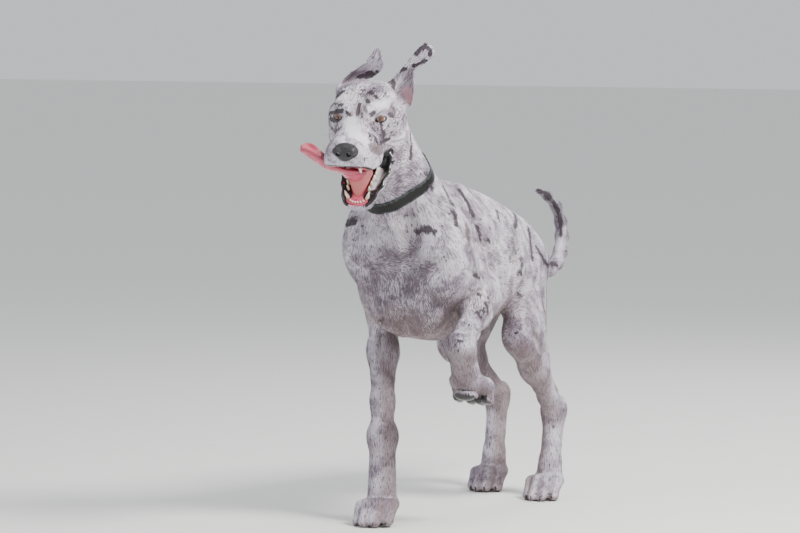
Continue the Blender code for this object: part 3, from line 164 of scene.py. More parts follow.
class Form:
    """A simple body with a signed distance; inside is negative."""

    centre: Array
    reach: float
    blend: float
    cut: bool = False

    def distance(self, points: Array) -> Array:
        """Distance from each point to the surface."""
        raise NotImplementedError


class Ball(Form):
    """An ellipsoid."""

    def __init__(self, centre: Point, radii: object, blend: float = 0.02, cut: bool = False) -> None:
        """Keep the size, and whether it is taken away."""
        self.centre = vec(*centre)
        self.radii = vec(*radii) if np.ndim(radii) else vec(radii, radii, radii)
        self.blend, self.cut = blend, cut
        self.reach = float(self.radii.max())

    def distance(self, points: Array) -> Array:
        """Distance from each point to the surface."""
        q = points - self.centre
        k0 = np.sqrt(((q / self.radii) ** 2).sum(1))
        k1 = np.sqrt(((q / self.radii**2) ** 2).sum(1))
        return np.where(k0 > 1e-6, k0 * (k0 - 1) / np.maximum(k1, 1e-9), -self.radii.min())


class Limb(Form):
    """A tapered limb with round ends, flattened along the direction named side."""

    def __init__(self, start: Point, end: Point, r_start: float, r_end: float, blend: float = 0.02,
                 side: Optional[Point] = None, flat: float = 1.0, cut: bool = False) -> None:
        """Keep the ends and radii."""
        self.start, self.end = vec(*start), vec(*end)
        self.r_start, self.r_end, self.blend, self.cut = r_start, r_end, blend, cut
        self.side, self.flat = (None if side is None else unit(side)), flat
        self.centre = (self.start + self.end) / 2
        self.reach = float(np.linalg.norm(self.end - self.start)) / 2 + max(r_start, r_end)

    def distance(self, points: Array) -> Array:
        """Distance from each point to the surface."""
        axis = self.end - self.start
        q = points - self.start
        h = np.clip(q @ axis / max(axis @ axis, 1e-12), 0, 1)
        w = q - h[:, None] * axis
        r = self.r_start + (self.r_end - self.r_start) * h
        off = np.einsum("ij,ij->i", w, w)
        if self.side is None:
            return np.sqrt(off) - r
        s = (w @ self.side) ** 2
        rest = np.maximum(off - s, 0)
        thin = r * self.flat
        k0 = np.sqrt(rest / r**2 + s / thin**2)
        k1 = np.sqrt(rest / r**4 + s / thin**4)
        return np.where(k0 > 1e-6, k0 * (k0 - 1) / np.maximum(k1, 1e-9), -thin)


class Loft(Form):
    """Sections across Y, each with a top, a bottom, a half width and a widest line."""

    def __init__(self, keys: Sequence[float], top: Sequence[float], bottom: Sequence[float],
                 half: Sequence[float], mid: Sequence[float], power: float = 2.0,
                 blend: float = 0.02) -> None:
        """Draw smooth curves through the sections."""
        self.first, self.last = keys[0], keys[-1]
        self.top, self.bottom = smooth_curve(keys, top), smooth_curve(keys, bottom)
        self.half, self.mid = smooth_curve(keys, half), smooth_curve(keys, mid)
        self.power, self.blend = power, blend
        self.centre = vec(0, (keys[0] + keys[-1]) / 2, (max(top) + min(bottom)) / 2)
        self.reach = math.hypot(keys[-1] - keys[0], max(top) - min(bottom)) / 2 + max(half)

    def distance(self, points: Array) -> Array:
        """Distance from each point to the surface."""
        y = np.clip(points[:, 1], self.first, self.last)
        mid = self.mid(y)
        z = points[:, 2] - mid
        wide = np.maximum(self.half(y), 0.004)
        tall = np.maximum(np.where(z > 0, self.top(y) - mid, mid - self.bottom(y)), 0.004)
        n = self.power
        a, b = np.abs(points[:, 0]) / wide, np.abs(z) / tall
        f = np.maximum(a**n + b**n, 1e-12) ** (1 / n)
        slope_x, slope_z = (a / f) ** (n - 1) / wide, (b / f) ** (n - 1) / tall
        d = (f - 1) / np.sqrt(slope_x**2 + slope_z**2 + 1e-9)
        past = np.abs(points[:, 1] - y)
        return np.where(past > 0, np.hypot(np.maximum(d, 0), past), d)


class Sheet(Form):
    """A thin curved sheet, such as an ear: rows of two edges and a middle, from root to tip."""

    def __init__(self, rows: Sequence, blend: float = 0.01, along: int = 90, across: int = 40) -> None:
        """Spread spots with radii over the sheet."""
        keys = np.arange(len(rows), dtype=float)
        curves = [smooth_curve(keys, [row[i] for row in rows]) for i in range(4)]
        first, middle, last, thick = [curve(np.linspace(0, keys[-1], along)) for curve in curves]
        spots, radii = [], []
        for share in np.linspace(0, 1, across):
            bow = 4 * share * (1 - share)
            spots.append(first + (last - first) * share + (middle - (first + last) / 2) * bow)
            radii.append(thick * (0.72 + 0.28 * min(1.0, 6 * min(share, 1 - share))))
        self.spots, self.radii = np.concatenate(spots), np.concatenate(radii)
        self.blend = blend
        self.centre = self.spots.mean(0)
        self.reach = float(length_of(self.spots - self.centre).max()) + 0.01
        self.tree = KDTree(len(self.spots))
        for i, spot in enumerate(self.spots):
            self.tree.insert(Vector(spot), i)
        self.tree.balance()

    def distance(self, points: Array) -> Array:
        """Distance from each point to the surface."""
        rough = np.min([length_of(points - s) for s in self.spots[::37]], axis=0)
        result = np.minimum(rough, FAR)
        for i in np.flatnonzero(rough < 0.035):
            _, index, away = self.tree.find(points[i])
            result[i] = away - self.radii[index]
        return result


def measure(forms: Iterable[Form], points: Array, start: Optional[Array] = None) -> Array:
    """Distance from each point to the blended forms.

    Args:
        forms: taken in order, each added or taken away.
        points: rows of x, y, z.
        start: distances to build on.

    Returns:
        One distance a point.
    """
    result = np.full(len(points), 1.0) if start is None else start
    forms = list(forms)
    if not len(points) or not forms:
        return result
    low, high = points.min(0), points.max(0)
    centres = np.array([form.centre for form in forms])
    gap = length_of(np.maximum(np.maximum(low - centres, centres - high), 0))
    for form in (form for form, far in zip(forms, gap) if far < form.reach + NEAR):
        off = points - form.centre
        near = np.flatnonzero(np.einsum("ij,ij->i", off, off) < (form.reach + NEAR) ** 2)
        if len(near):
            blend = carve if form.cut else join
            result[near] = blend(result[near], form.distance(points[near]), form.blend)
    return result


def by_region(distance: Distance, points: Array, cell: float = 0.07) -> Array:
    """Distances worked out a small region at a time, which skips all that is far away."""
    if len(points) < FEW:
        return distance(points)
    keys = np.floor(points / cell).astype(np.int64)
    code = (keys[:, 0] * 4096 + keys[:, 1]) * 4096 + keys[:, 2]
    order = np.argsort(code, kind="stable")
    starts = np.flatnonzero(np.diff(code[order])) + 1
    result = np.empty(len(points))
    for rows in np.split(order, starts):
        result[rows] = distance(points[rows])
    return result


def path_distance(points: Array, path: Array) -> Array:
    """Distance from each point to a line through a path."""
    if len(path) == 1:
        return length_of(points - path[0])
    best = np.full(len(points), 9.0)
    for a, b in zip(path, path[1:]):
        axis = b - a
        h = np.clip((points - a) @ axis / max(axis @ axis, 1e-12), 0, 1)
        best = np.minimum(best, length_of(points - a - h[:, None] * axis))
    return best


class Casting:
    """Turns a distance into a closed mesh of quads."""

    def __init__(self, distance: Distance, low: Point, high: Point, step: float) -> None:
        """Keep the distance, the box and the grid's step."""
        self.distance, self.low, self.high, self.step = distance, vec(*low), vec(*high), step

    def grid(self) -> Array:
        """Distances at the grid's corners, worked out finely only near the surface."""
        coarse = 4
        block = self.step * coarse
        count = np.ceil((self.high - self.low) / block).astype(int)
        axes = [self.low[i] + (np.arange(count[i]) + 0.5) * block - self.step / 2 for i in range(3)]
        centres = np.stack(np.meshgrid(*axes, indexing="ij"), -1).reshape(-1, 3)
        values = self.distance(centres).reshape(count)
        for axis in range(3):
            values = np.repeat(values, coarse, axis=axis)
        values = np.clip(values, -FAR, FAR)
        close = np.argwhere(np.abs(values) < block * 1.35)
        for part in np.array_split(close, max(1, len(close) // 250000)):
            values[tuple(part.T)] = self.distance(self.low + part * self.step)
        for axis in range(3):
            for end in (0, -1):
                edge: list = [slice(None)] * 3
                edge[axis] = end
                values[tuple(edge)] = np.maximum(values[tuple(edge)], self.step / 2)
        return values

    def skin(self) -> tuple[Array, Array]:
        """Points and outward quads of the surface, one point in each crossed cell."""
        values = self.grid()
        inside = values < 0
        count = np.zeros(np.array(values.shape) - 1, np.int8)
        corners = [(x, y, z) for x in (0, 1) for y in (0, 1) for z in (0, 1)]
        for x, y, z in corners:
            count += inside[x:x + count.shape[0], y:y + count.shape[1], z:z + count.shape[2]]
        cells = np.argwhere((count > 0) & (count < 8))
        index = np.full(count.shape, -1, np.int32)
        index[tuple(cells.T)] = np.arange(len(cells))
        total, hits = np.zeros((len(cells), 3)), np.zeros(len(cells))
        for axis in range(3):
            along = np.eye(3, dtype=int)[axis]
            for offset in (np.array(c) for c in corners if not c[axis]):
                start = cells + offset
                a, b = values[tuple(start.T)], values[tuple((start + along).T)]
                crossed = np.flatnonzero((a < 0) != (b < 0))
                share = a[crossed] / (a[crossed] - b[crossed])
                total[crossed] += start[crossed] + share[:, None] * along
                hits[crossed] += 1
        points = self.low + self.step * total / hits[:, None]
        faces = []
        for axis in range(3):
            along, second, third = (np.eye(3, dtype=int)[(axis + i) % 3] for i in range(3))
            upper = [slice(1, None) if i == axis else slice(None) for i in range(3)]
            lower = [slice(None, -1) if i == axis else slice(None) for i in range(3)]
            edges = np.argwhere(inside[tuple(lower)] != inside[tuple(upper)])
            shifts = (0 * along, second, second + third, third)
            quads = np.stack([index[tuple((edges - shift).T)] for shift in shifts], 1)
            outward = inside[tuple(edges.T)]
            quads[~outward] = quads[~outward][:, ::-1]
            faces.append(quads)
        quads = np.concatenate(faces)
        return self.settle(points, quads), quads

    def settle(self, points: Array, quads: Array) -> Array:
        """Even out the points, then set them back on the surface."""
        ends = np.concatenate([quads, np.roll(quads, 1, axis=1)]).reshape(2, -1)
        links = np.bincount(ends[0], minlength=len(points)) + np.bincount(ends[1], minlength=len(points))
        for _ in range(2):
            mean = np.zeros_like(points)
            for i in range(3):
                mean[:, i] = (np.bincount(ends[0], points[ends[1], i], len(points))
                              + np.bincount(ends[1], points[ends[0], i], len(points)))
            points = points * 0.5 + 0.5 * mean / np.maximum(links, 1)[:, None]
        return self.pull(points, 0.8)

    def pull(self, points: Array, share: float) -> Array:
        """Move points a share of the way onto the surface."""
        slope = gradient(self.distance, points, self.step * 0.35)
        away = self.distance(points)
        move = np.clip(away / np.maximum((slope**2).sum(1), 0.3), -self.step, self.step)
        return points - slope * (move * share)[:, None]


def point_normals(points: Array, quads: Array) -> Array:
    """Outward directions at the points of a mesh of quads."""
    cross = np.cross(points[quads[:, 2]] - points[quads[:, 0]], points[quads[:, 3]] - points[quads[:, 1]])
    total = np.zeros_like(points)
    for corner in range(4):
        for i in range(3):
            total[:, i] += np.bincount(quads[:, corner], cross[:, i], len(points))
    return total / (length_of(total)[:, None] + 1e-12)


def gradient(distance: Distance, points: Array, reach: float) -> Array:
    """How the distance rises along x, y and z, measured over a short reach."""
    slope = np.empty_like(points)
    for axis in range(3):
        shift = np.eye(3)[axis] * reach
        slope[:, axis] = (distance(points + shift) - distance(points - shift)) / (2 * reach)
    return slope


@dataclass
class Trunk:
    """Torso and neck."""

    y: tuple = (-0.015, 0.02, 0.07, 0.13, 0.20, 0.28, 0.36, 0.44, 0.52, 0.60, 0.66, 0.71)
    top: tuple = (0.57, 0.650, 0.696, 0.722, 0.735, 0.727, 0.708, 0.684, 0.658, 0.628, 0.594, 0.562)
    bottom: tuple = (0.50, 0.455, 0.428, 0.410, 0.398, 0.401, 0.421, 0.450, 0.474, 0.488, 0.492, 0.51)
    half: tuple = (0.050, 0.090, 0.106, 0.114, 0.121, 0.126, 0.120, 0.103, 0.080, 0.066, 0.052, 0.034)
    mid: tuple = (0.54, 0.55, 0.55, 0.555, 0.56, 0.56, 0.56, 0.565, 0.57, 0.565, 0.555, 0.54)
    neck: tuple = (((0, 0.12, 0.60), 0.112), ((-0.002, 0.05, 0.665), 0.097), ((-0.010, -0.02, 0.745), 0.080),
                   ((-0.018, -0.075, 0.82), 0.070), ((-0.023, -0.110, 0.88), 0.066))
    neck_flat: float = 0.70

    def forms(self) -> list[Form]:
        """Torso, neck and their muscles."""
        shapes: list[Form] = [Loft(self.y, self.top, self.bottom, self.half, self.mid, 2.05, 0.03)]
        for (low, r_low), (high, r_high) in zip(self.neck, self.neck[1:]):
            shapes.append(Limb(low, high, r_low, r_high, 0.045, (1, 0, 0), self.neck_flat))
        # Crest from the withers to the poll, the throat, and the breastbone point.
        shapes.append(Limb((0, 0.165, 0.692), (-0.020, -0.055, 0.860), 0.028, 0.020, 0.05))
        shapes.append(Limb((-0.002, 0.01, 0.56), (-0.022, -0.105, 0.79), 0.036, 0.032, 0.04))
        shapes.append(Ball((0, 0.0, 0.515), (0.035, 0.028, 0.04), 0.035))
        for s in (-1, 1):
            shapes += [
                # Breast muscles and the keel behind them.
                Ball((s * 0.045, 0.02, 0.485), (0.042, 0.042, 0.062), 0.04),
                Limb((s * 0.03, 0.06, 0.438), (s * 0.032, 0.20, 0.418), 0.030, 0.026, 0.03),
                # Muscle from the neck down over the shoulder.
                Limb((s * 0.036 - 0.018, -0.06, 0.83), (s * 0.060, 0.02, 0.665), 0.022, 0.050, 0.04),
                Limb((s * 0.060, 0.02, 0.665), (s * 0.074, 0.006, 0.585), 0.050, 0.048, 0.04),
                # Back muscle, hip bone, rump.
                Limb((s * 0.028, 0.22, 0.700), (s * 0.024, 0.55, 0.622), 0.026, 0.024, 0.03),
                Ball((s * 0.042, 0.535, 0.612), (0.018, 0.028, 0.016), 0.025),
                Limb((s * 0.028, 0.57, 0.572), (s * 0.022, 0.670, 0.535), 0.035, 0.027, 0.03),
            ]
        shapes.append(Limb((0, 0.655, 0.575), (0.0, 0.725, 0.536), 0.034, 0.022, 0.03))
        return shapes


@dataclass
class Paw:
    """Pastern, pads and four toes between two joints and the toe."""

    wrist: Point
    knuckle: Point
    toe: Point
    wide: float
    across: tuple = (-0.030, -0.0105, 0.0105, 0.030)
    reach: tuple = (0.78, 1.0, 1.0, 0.78)

    def frame(self) -> tuple[Array, Array, Array]:
        """Forward, sideways and upward directions."""
        along, forward = unit(vec(*self.knuckle) - self.wrist), unit(vec(*self.toe) - self.knuckle)
        side = unit(np.cross(along, forward))
        side = side * math.copysign(1, side[0])
        top = unit(np.cross(side, forward))
        return forward, side, top * math.copysign(1, -(top @ along))

    def toes(self) -> list[tuple[Array, Array, Array]]:
        """Root, bend and tip of each toe."""
        forward, side, top = self.frame()
        knuckle, length = vec(*self.knuckle), float(np.linalg.norm(vec(*self.toe) - self.knuckle))
        rows = []
        for by, far in zip(self.across, self.reach):
            rise = 0.004 if far == 1.0 else -0.004
            root = knuckle + side * by * 0.72 * self.wide
            bend = knuckle + side * by * self.wide + forward * length * 0.45 * far + top * (0.014 + rise)
            tip = knuckle + side * by * 1.1 * self.wide + forward * length * 0.93 * far + top * (rise - 0.001)
            rows.append((root, bend, tip))
        return rows

    def pads(self) -> list[Ball]:
        """Toe pads and the main pad."""
        forward, _, top = self.frame()
        length = float(np.linalg.norm(vec(*self.toe) - self.knuckle))
        balls = [Ball(tip - forward * 0.006 - top * 0.005, (0.0105 * self.wide, 0.0150, 0.0120), 0.003)
                 for _, _, tip in self.toes()]
        main = vec(*self.knuckle) + forward * length * 0.22 - top * 0.024
        return balls + [Ball(main, (0.027 * self.wide, 0.020, 0.016), 0.005)]

    def forms(self) -> list[Form]:
        """Everything but the claws."""
        w = self.wide
        wrist, knuckle = vec(*self.wrist), vec(*self.knuckle)
        across = unit(np.cross(self.frame()[1], unit(knuckle - wrist)))
        shapes: list[Form] = [Limb(wrist, knuckle, 0.028 * w, 0.033 * w, 0.02, across, 0.74)]
        for (root, bend, tip), pad in zip(self.toes(), self.pads()):
            shapes += [Limb(root, bend, 0.018 * w, 0.0168 * w, 0.006),
                       Limb(bend, tip, 0.0168 * w, 0.0135 * w, 0.006), pad]
        return shapes + [self.pads()[-1]]

    def claws(self) -> list[tuple[Array, Array, Array]]:
        """Root, direction and upward direction of each claw."""
        forward, _, top = self.frame()
        return [(tip + forward * 0.004 + top * 0.004, unit(forward - top * 0.35), top)
                for _, _, tip in self.toes()]


@dataclass
class Foreleg:
    """Shoulder, upper arm, forearm and paw of one side."""

    blade: Point
    shoulder: Point
    elbow: Point
    wrist: Point
    knuckle: Point
    toe: Point
    wrist_r: float = 0.0275

    def paw(self) -> Paw:
        """The forepaw."""
        return Paw(self.wrist, self.knuckle, self.toe, 1.05)

    def forms(self) -> list[Form]:
        """The leg down to the wrist."""
        side = math.copysign(1, self.elbow[0])
        out = (side, 0, 0)
        blade, shoulder = vec(*self.blade), vec(*self.shoulder)
        elbow, wrist = vec(*self.elbow), vec(*self.wrist)
        point = elbow - unit(wrist - elbow) * 0.012 + unit(elbow - shoulder) * 0.010
        third, low = between(elbow, wrist, 0.32), between(elbow, wrist, 0.72)
        return [
            Limb(blade, shoulder + vec(0, 0.01, 0.01), 0.040, 0.056, 0.04, out, 0.80),
            Limb(between(blade, shoulder, 0.25) + vec(side * 0.006, 0.045, -0.02),
                 between(shoulder, elbow, 0.75) + vec(0, 0, 0.02), 0.050, 0.045, 0.03, out, 0.70),
            Limb(shoulder, elbow, 0.053, 0.044, 0.04, out, 0.80),
            Ball(shoulder + vec(side * 0.005, -0.004, 0), (0.036, 0.033, 0.048), 0.045),
            Ball(shoulder + vec(side * 0.012, 0.006, 0.050), (0.038, 0.042, 0.055), 0.045),
            Limb(between(blade, shoulder, 0.5) + vec(side * 0.022, 0.072, 0), point,
                 0.045, 0.022, 0.03, out, 0.70),
            Ball(point, 0.019, 0.02),
            Limb(elbow, third, 0.039, 0.0375, 0.02, out, 0.82),
            Limb(third, low, 0.0375, 0.0265, 0.02, out, 0.87),
            Limb(low, wrist, 0.0262, self.wrist_r, 0.02, out, 0.97),
            Ball(wrist, (0.031, 0.027, 0.030), 0.018),
        ]


@dataclass
class Hindleg:
    """Thigh, lower thigh, hock and paw of one side."""

    hip: Point
    knee: Point
    hock: Point
    knuckle: Point
    toe: Point
    seat: Point

    def paw(self) -> Paw:
        """The hind paw."""
        return Paw(between(self.hock, self.knuckle, 0.75), self.knuckle, self.toe, 0.95)

    def forms(self) -> list[Form]:
        """The leg down to the pastern."""
        side = math.copysign(1, self.knee[0])
        out = (side, 0, 0)
        hip, knee, hock = vec(*self.hip), vec(*self.knee), vec(*self.hock)
        seat, knuckle = vec(*self.seat), vec(*self.knuckle)
        heel = hock + unit(hock - knee) * 0.022 + unit(hock - knuckle) * 0.026
        calf, shin = between(knee, hock, 0.38), between(knee, hock, 0.80)
        return [
            Limb(hip + vec(0, -0.015, 0), knee + vec(-side * 0.003, 0.02, 0.015),
                 0.078, 0.054, 0.035, out, 0.60),
            Limb(seat + vec(side * 0.008, -0.02, -0.005), between(knee, hock, 0.22) + vec(0, 0.030, 0.02),
                 0.048, 0.040, 0.035, out, 0.66),
            Limb(hip + vec(side * 0.006, -0.06, 0.015), knee + vec(0, -0.006, 0.02),
                 0.048, 0.040, 0.03, out, 0.72),
            Ball(knee + vec(0, -0.018, 0), (0.028, 0.027, 0.034), 0.025),
            Limb(knee, calf, 0.045, 0.038, 0.025, out, 0.76),
            Limb(calf, shin, 0.038, 0.0225, 0.025, out, 0.80),
            Limb(shin, hock, 0.0225, 0.0245, 0.02, out, 0.85),
            Limb(between(knee, hock, 0.55) + vec(0, 0.018, 0.010), heel, 0.015, 0.0125, 0.018),
            Ball(heel, 0.015, 0.014),
            Ball(hock, (0.0250, 0.028, 0.030), 0.018),
            Limb(heel, between(hock, knuckle, 0.5) + vec(0, 0.006, 0), 0.014, 0.0182, 0.02),
            Limb(hock, between(hock, knuckle, 0.9), 0.0242, 0.0220, 0.02, out, 0.9),
        ]


@dataclass
class Tail:
    """The raised tail."""

    path: tuple = (((0.0, 0.690, 0.560), 0.026), ((0.0, 0.725, 0.536), 0.0205), ((0.0, 0.760, 0.518), 0.0175),
                   ((0.003, 0.800, 0.512), 0.0160), ((0.007, 0.832, 0.523), 0.0152),
                   ((0.011, 0.851, 0.549), 0.0146), ((0.012, 0.858, 0.584), 0.0138),
                   ((0.012, 0.852, 0.618), 0.0126), ((0.008, 0.834, 0.655), 0.0110),
                   ((-0.002, 0.806, 0.682), 0.0088), ((-0.014, 0.778, 0.695), 0.0062))

    def forms(self) -> list[Form]:
        """One tapered limb a stretch."""
        return [Limb(a, b, ra, rb, 0.012) for (a, ra), (b, rb) in zip(self.path, self.path[1:])]


@dataclass
class Head:
    """Skull, muzzle, open jaw, lids and mouth, in the head's frame: -Y to the nose, +X its left."""

    at: Point = (-0.0185, -0.19, 0.904)
    yaw: float = math.radians(12)
    pitch: float = math.radians(17)
    roll: float = math.radians(2.5)
    hinge: Point = (0, 0.060, -0.035)
    jaw_open: float = math.radians(30)
    jaw_shift: float = 0.006
    eye: Point = (0.0450, -0.003, 0.0)
    eye_r: float = 0.0125
    lid: float = 0.0026
    slit: tuple = ((0.0395, -0.0155, -0.003), (0.0490, -0.0155, -0.0008), (0.0580, -0.0080, -0.0012))
    slit_r: tuple = (0.0028, 0.0068, 0.0030)
    skull: tuple = ((-0.045, -0.02, 0.01, 0.05, 0.09, 0.12, 0.145),
                    (0.004, 0.024, 0.037, 0.046, 0.049, 0.041, 0.018),
                    (-0.06, -0.072, -0.080, -0.085, -0.080, -0.070, -0.040),
                    (0.036, 0.050, 0.059, 0.066, 0.065, 0.054, 0.030),
                    (-0.022, -0.014, -0.010, -0.012, -0.012, -0.012, -0.015))
    muzzle: tuple = ((-0.160, -0.150, -0.125, -0.09, -0.05, -0.01, 0.02),
                     (-0.022, -0.008, -0.003, -0.001, 0.002, 0.010, 0.022),
                     (-0.052, -0.066, -0.082, -0.092, -0.100, -0.106, -0.100),
                     (0.020, 0.034, 0.0425, 0.0460, 0.048, 0.051, 0.054),
                     (-0.038, -0.042, -0.050, -0.052, -0.052, -0.047, -0.040))
    jaw: tuple = ((-0.140, -0.131, -0.10, -0.06, -0.01, 0.03),
                  (-0.078, -0.072, -0.070, -0.069, -0.064, -0.050),
                  (-0.092, -0.104, -0.110, -0.114, -0.117, -0.110),
                  (0.018, 0.029, 0.035, 0.042, 0.050, 0.055),
                  (-0.084, -0.086, -0.088, -0.088, -0.085, -0.080))
    lip_left: tuple = ((0.0, -0.134, -0.084), (0.018, -0.130, -0.083), (0.033, -0.112, -0.078),
                       (0.046, -0.085, -0.073), (0.054, -0.050, -0.068), (0.058, -0.012, -0.066),
                       (0.058, 0.020, -0.064))
    lip_right: tuple = ((0.0, -0.134, -0.084), (-0.018, -0.130, -0.083), (-0.029, -0.112, -0.076),
                        (-0.035, -0.085, -0.070), (-0.041, -0.050, -0.066), (-0.047, -0.012, -0.064),
                        (-0.052, 0.020, -0.062))
    lip_r: float = 0.0065
    lip_top: tuple = ((-0.140, -0.125, -0.105, -0.06, 0.03), (-0.079, -0.078, -0.071, -0.064, -0.058))
    upper_lip: tuple = ((-0.18, -0.145, -0.115, -0.09, -0.02, 0.05),
                        (-0.056, -0.066, -0.082, -0.088, -0.101, -0.108))
    mouth_back: float = 0.040

    def __post_init__(self) -> None:
        """Work out the rotations of the head and the jaw."""
        cy, sy, cr, sr = math.cos(self.yaw), math.sin(self.yaw), math.cos(self.roll), math.sin(self.roll)
        yaw = np.array([[cy, -sy, 0], [sy, cy, 0], [0, 0, 1]])
        roll = np.array([[cr, 0, sr], [0, 1, 0], [-sr, 0, cr]])
        self.turn = yaw @ self.about_x(self.pitch) @ roll
        self.jaw_turn = self.about_x(self.jaw_open)
        self.skull_made, self.jaw_made = self.skull_forms(), self.jaw_forms()
        self.palate_made, self.floor_made = self.palate_forms(), self.floor_forms()

    @staticmethod
    def about_x(angle: float) -> Array:
        """Rotation about X."""
        c, s = math.cos(angle), math.sin(angle)
        return np.array([[1, 0, 0], [0, c, -s], [0, s, c]])

    def inward(self, points: Array) -> Array:
        """From working coordinates to the head's frame."""
        return (points - vec(*self.at)) @ self.turn

    def outward(self, points: object) -> Array:
        """From the head's frame to working coordinates."""
        return np.asarray(points, float) @ self.turn.T + vec(*self.at)

    def to_jaw(self, points: Array) -> Array:
        """From the head's frame to the lower jaw's, in which the mouth is shut."""
        return (points - vec(*self.hinge) - vec(self.jaw_shift, 0, 0)) @ self.jaw_turn + vec(*self.hinge)

    def from_jaw(self, points: object) -> Array:
        """From the lower jaw's frame to the head's."""
        away = (np.asarray(points, float) - vec(*self.hinge)) @ self.jaw_turn.T
        return away + vec(*self.hinge) + vec(self.jaw_shift, 0, 0)

    def slits(self) -> list[Form]:
        """Openings between the lids."""
        shapes: list[Form] = []
        for s in (-1, 1):
            spots = [(s * x, y, z) for x, y, z in self.slit]
            shapes += [Limb(a, b, ra, rb, 0.0015, cut=True)
                       for a, b, ra, rb in zip(spots, spots[1:], self.slit_r, self.slit_r[1:])]
        return shapes

    def skull_forms(self) -> list[Form]:
        """Skull, muzzle, upper lips and lids."""
        shapes: list[Form] = [Loft(*self.skull, 2.1, 0.02), Loft(*self.muzzle, 2.5, 0.022)]
        for s in (-1, 1):
            shapes += [
                # Brow, cheek bone, chewing muscle, temple muscle.
                Limb((s * 0.020, -0.022, 0.018), (s * 0.047, 0.006, 0.021), 0.012, 0.009, 0.020),
                Limb((s * 0.056, 0.018, -0.020), (s * 0.067, 0.070, -0.016), 0.013, 0.016, 0.022),
                Ball((s * 0.060, 0.060, -0.056), (0.0240, 0.042, 0.046), 0.025),
                Ball((s * 0.034, 0.060, 0.026), (0.031, 0.048, 0.022), 0.02),
                # Upper lip, front and side; eye hollow and the lids over the eye.
                Ball((s * 0.033, -0.114, -0.058), (0.0205, 0.036, 0.032), 0.016),
                Ball((s * 0.043, -0.058, -0.078), (0.0120, 0.050, 0.026), 0.018),
                Ball((s * 0.050, -0.021, -0.001), (0.014, 0.014, 0.011), 0.010, cut=True),
                Ball((s * self.eye[0], self.eye[1], self.eye[2]), self.eye_r + self.lid, 0.006),
            ]
        shapes.append(Limb((0, -0.045, 0.016), (0, 0.04, 0.056), 0.005, 0.007, 0.02, cut=True))
        return shapes + self.slits()

    def jaw_forms(self) -> list[Form]:
        """Lower jaw with its lips, in its own frame."""
        shapes: list[Form] = [Loft(*self.jaw, 2.4, 0.02)]
        for s in (-1, 1):
            shapes.append(Limb((s * 0.042, 0.0, -0.092), (s * 0.048, 0.05, -0.06), 0.022, 0.026, 0.02))
        for lip in (self.lip_left, self.lip_right):
            shapes += [Limb(a, b, self.lip_r, self.lip_r, 0.010) for a, b in zip(lip, lip[1:])]
        return shapes

    def solid(self, points: Array) -> Array:
        """Distance to the head with its mouth filled in."""
        result = join(measure(self.skull_made, points), measure(self.jaw_made, self.to_jaw(points)), 0.012)
        cheeks = [Limb((s * 0.050, 0.044, -0.090), (s * 0.050, 0.062, -0.112), 0.016, 0.022, 0.022)
                  for s in (-1, 1)]
        return measure(cheeks, points, result)

    def opening(self, points: Array) -> Array:
        """Distance to the gap between the jaws, back to the corners of the mouth."""
        in_jaw = self.to_jaw(points)
        roof = points[:, 2] - np.interp(points[:, 1], *self.upper_lip)
        floor = np.interp(in_jaw[:, 1], *self.lip_top) - in_jaw[:, 2]
        return np.maximum(np.maximum(roof, floor), points[:, 1] - self.mouth_back)

    def palate_forms(self) -> list[Form]:
        """Roof of the mouth, its back, and the place where the tongue lifts the lip."""
        return [
            Ball((0, -0.060, -0.086), (0.031, 0.085, 0.030), 0.006, cut=True),
            Limb((0, -0.03, -0.094), (0, 0.040, -0.100), 0.034, 0.016, 0.012, cut=True),
            Limb((-0.030, -0.112, -0.096), (-0.090, -0.098, -0.076), 0.026, 0.034, 0.010, cut=True),
        ]

    def floor_forms(self) -> list[Form]:
        """Floor of the mouth and the grooves between teeth and lips, in the jaw's frame."""
        return [
            Ball((0, -0.050, -0.068), (0.026, 0.072, 0.024), 0.006, cut=True),
            Limb((0.030, -0.104, -0.068), (0.045, -0.055, -0.060), 0.0050, 0.0085, 0.004, cut=True),
            Limb((0.045, -0.055, -0.060), (0.049, 0.010, -0.058), 0.0085, 0.0100, 0.004, cut=True),
            Limb((-0.0275, -0.100, -0.068), (-0.038, -0.040, -0.060), 0.0035, 0.0050, 0.004, cut=True),
        ]

    def distance(self, points: Array) -> Array:
        """Distance to the head for points in its own frame."""
        result = carve(self.solid(points), self.opening(points), 0.005)
        result = measure(self.palate_made, points, result)
        return measure(self.floor_made, self.to_jaw(points), result)

    def hollow(self, points: Array) -> Array:
        """Distance to all that the mouth takes away."""
        gaps = [self.opening(points)]
        gaps += [form.distance(points) for form in self.palate_made]
        in_jaw = self.to_jaw(points)
        gaps += [form.distance(in_jaw) for form in self.floor_made]
        return np.min(gaps, axis=0)


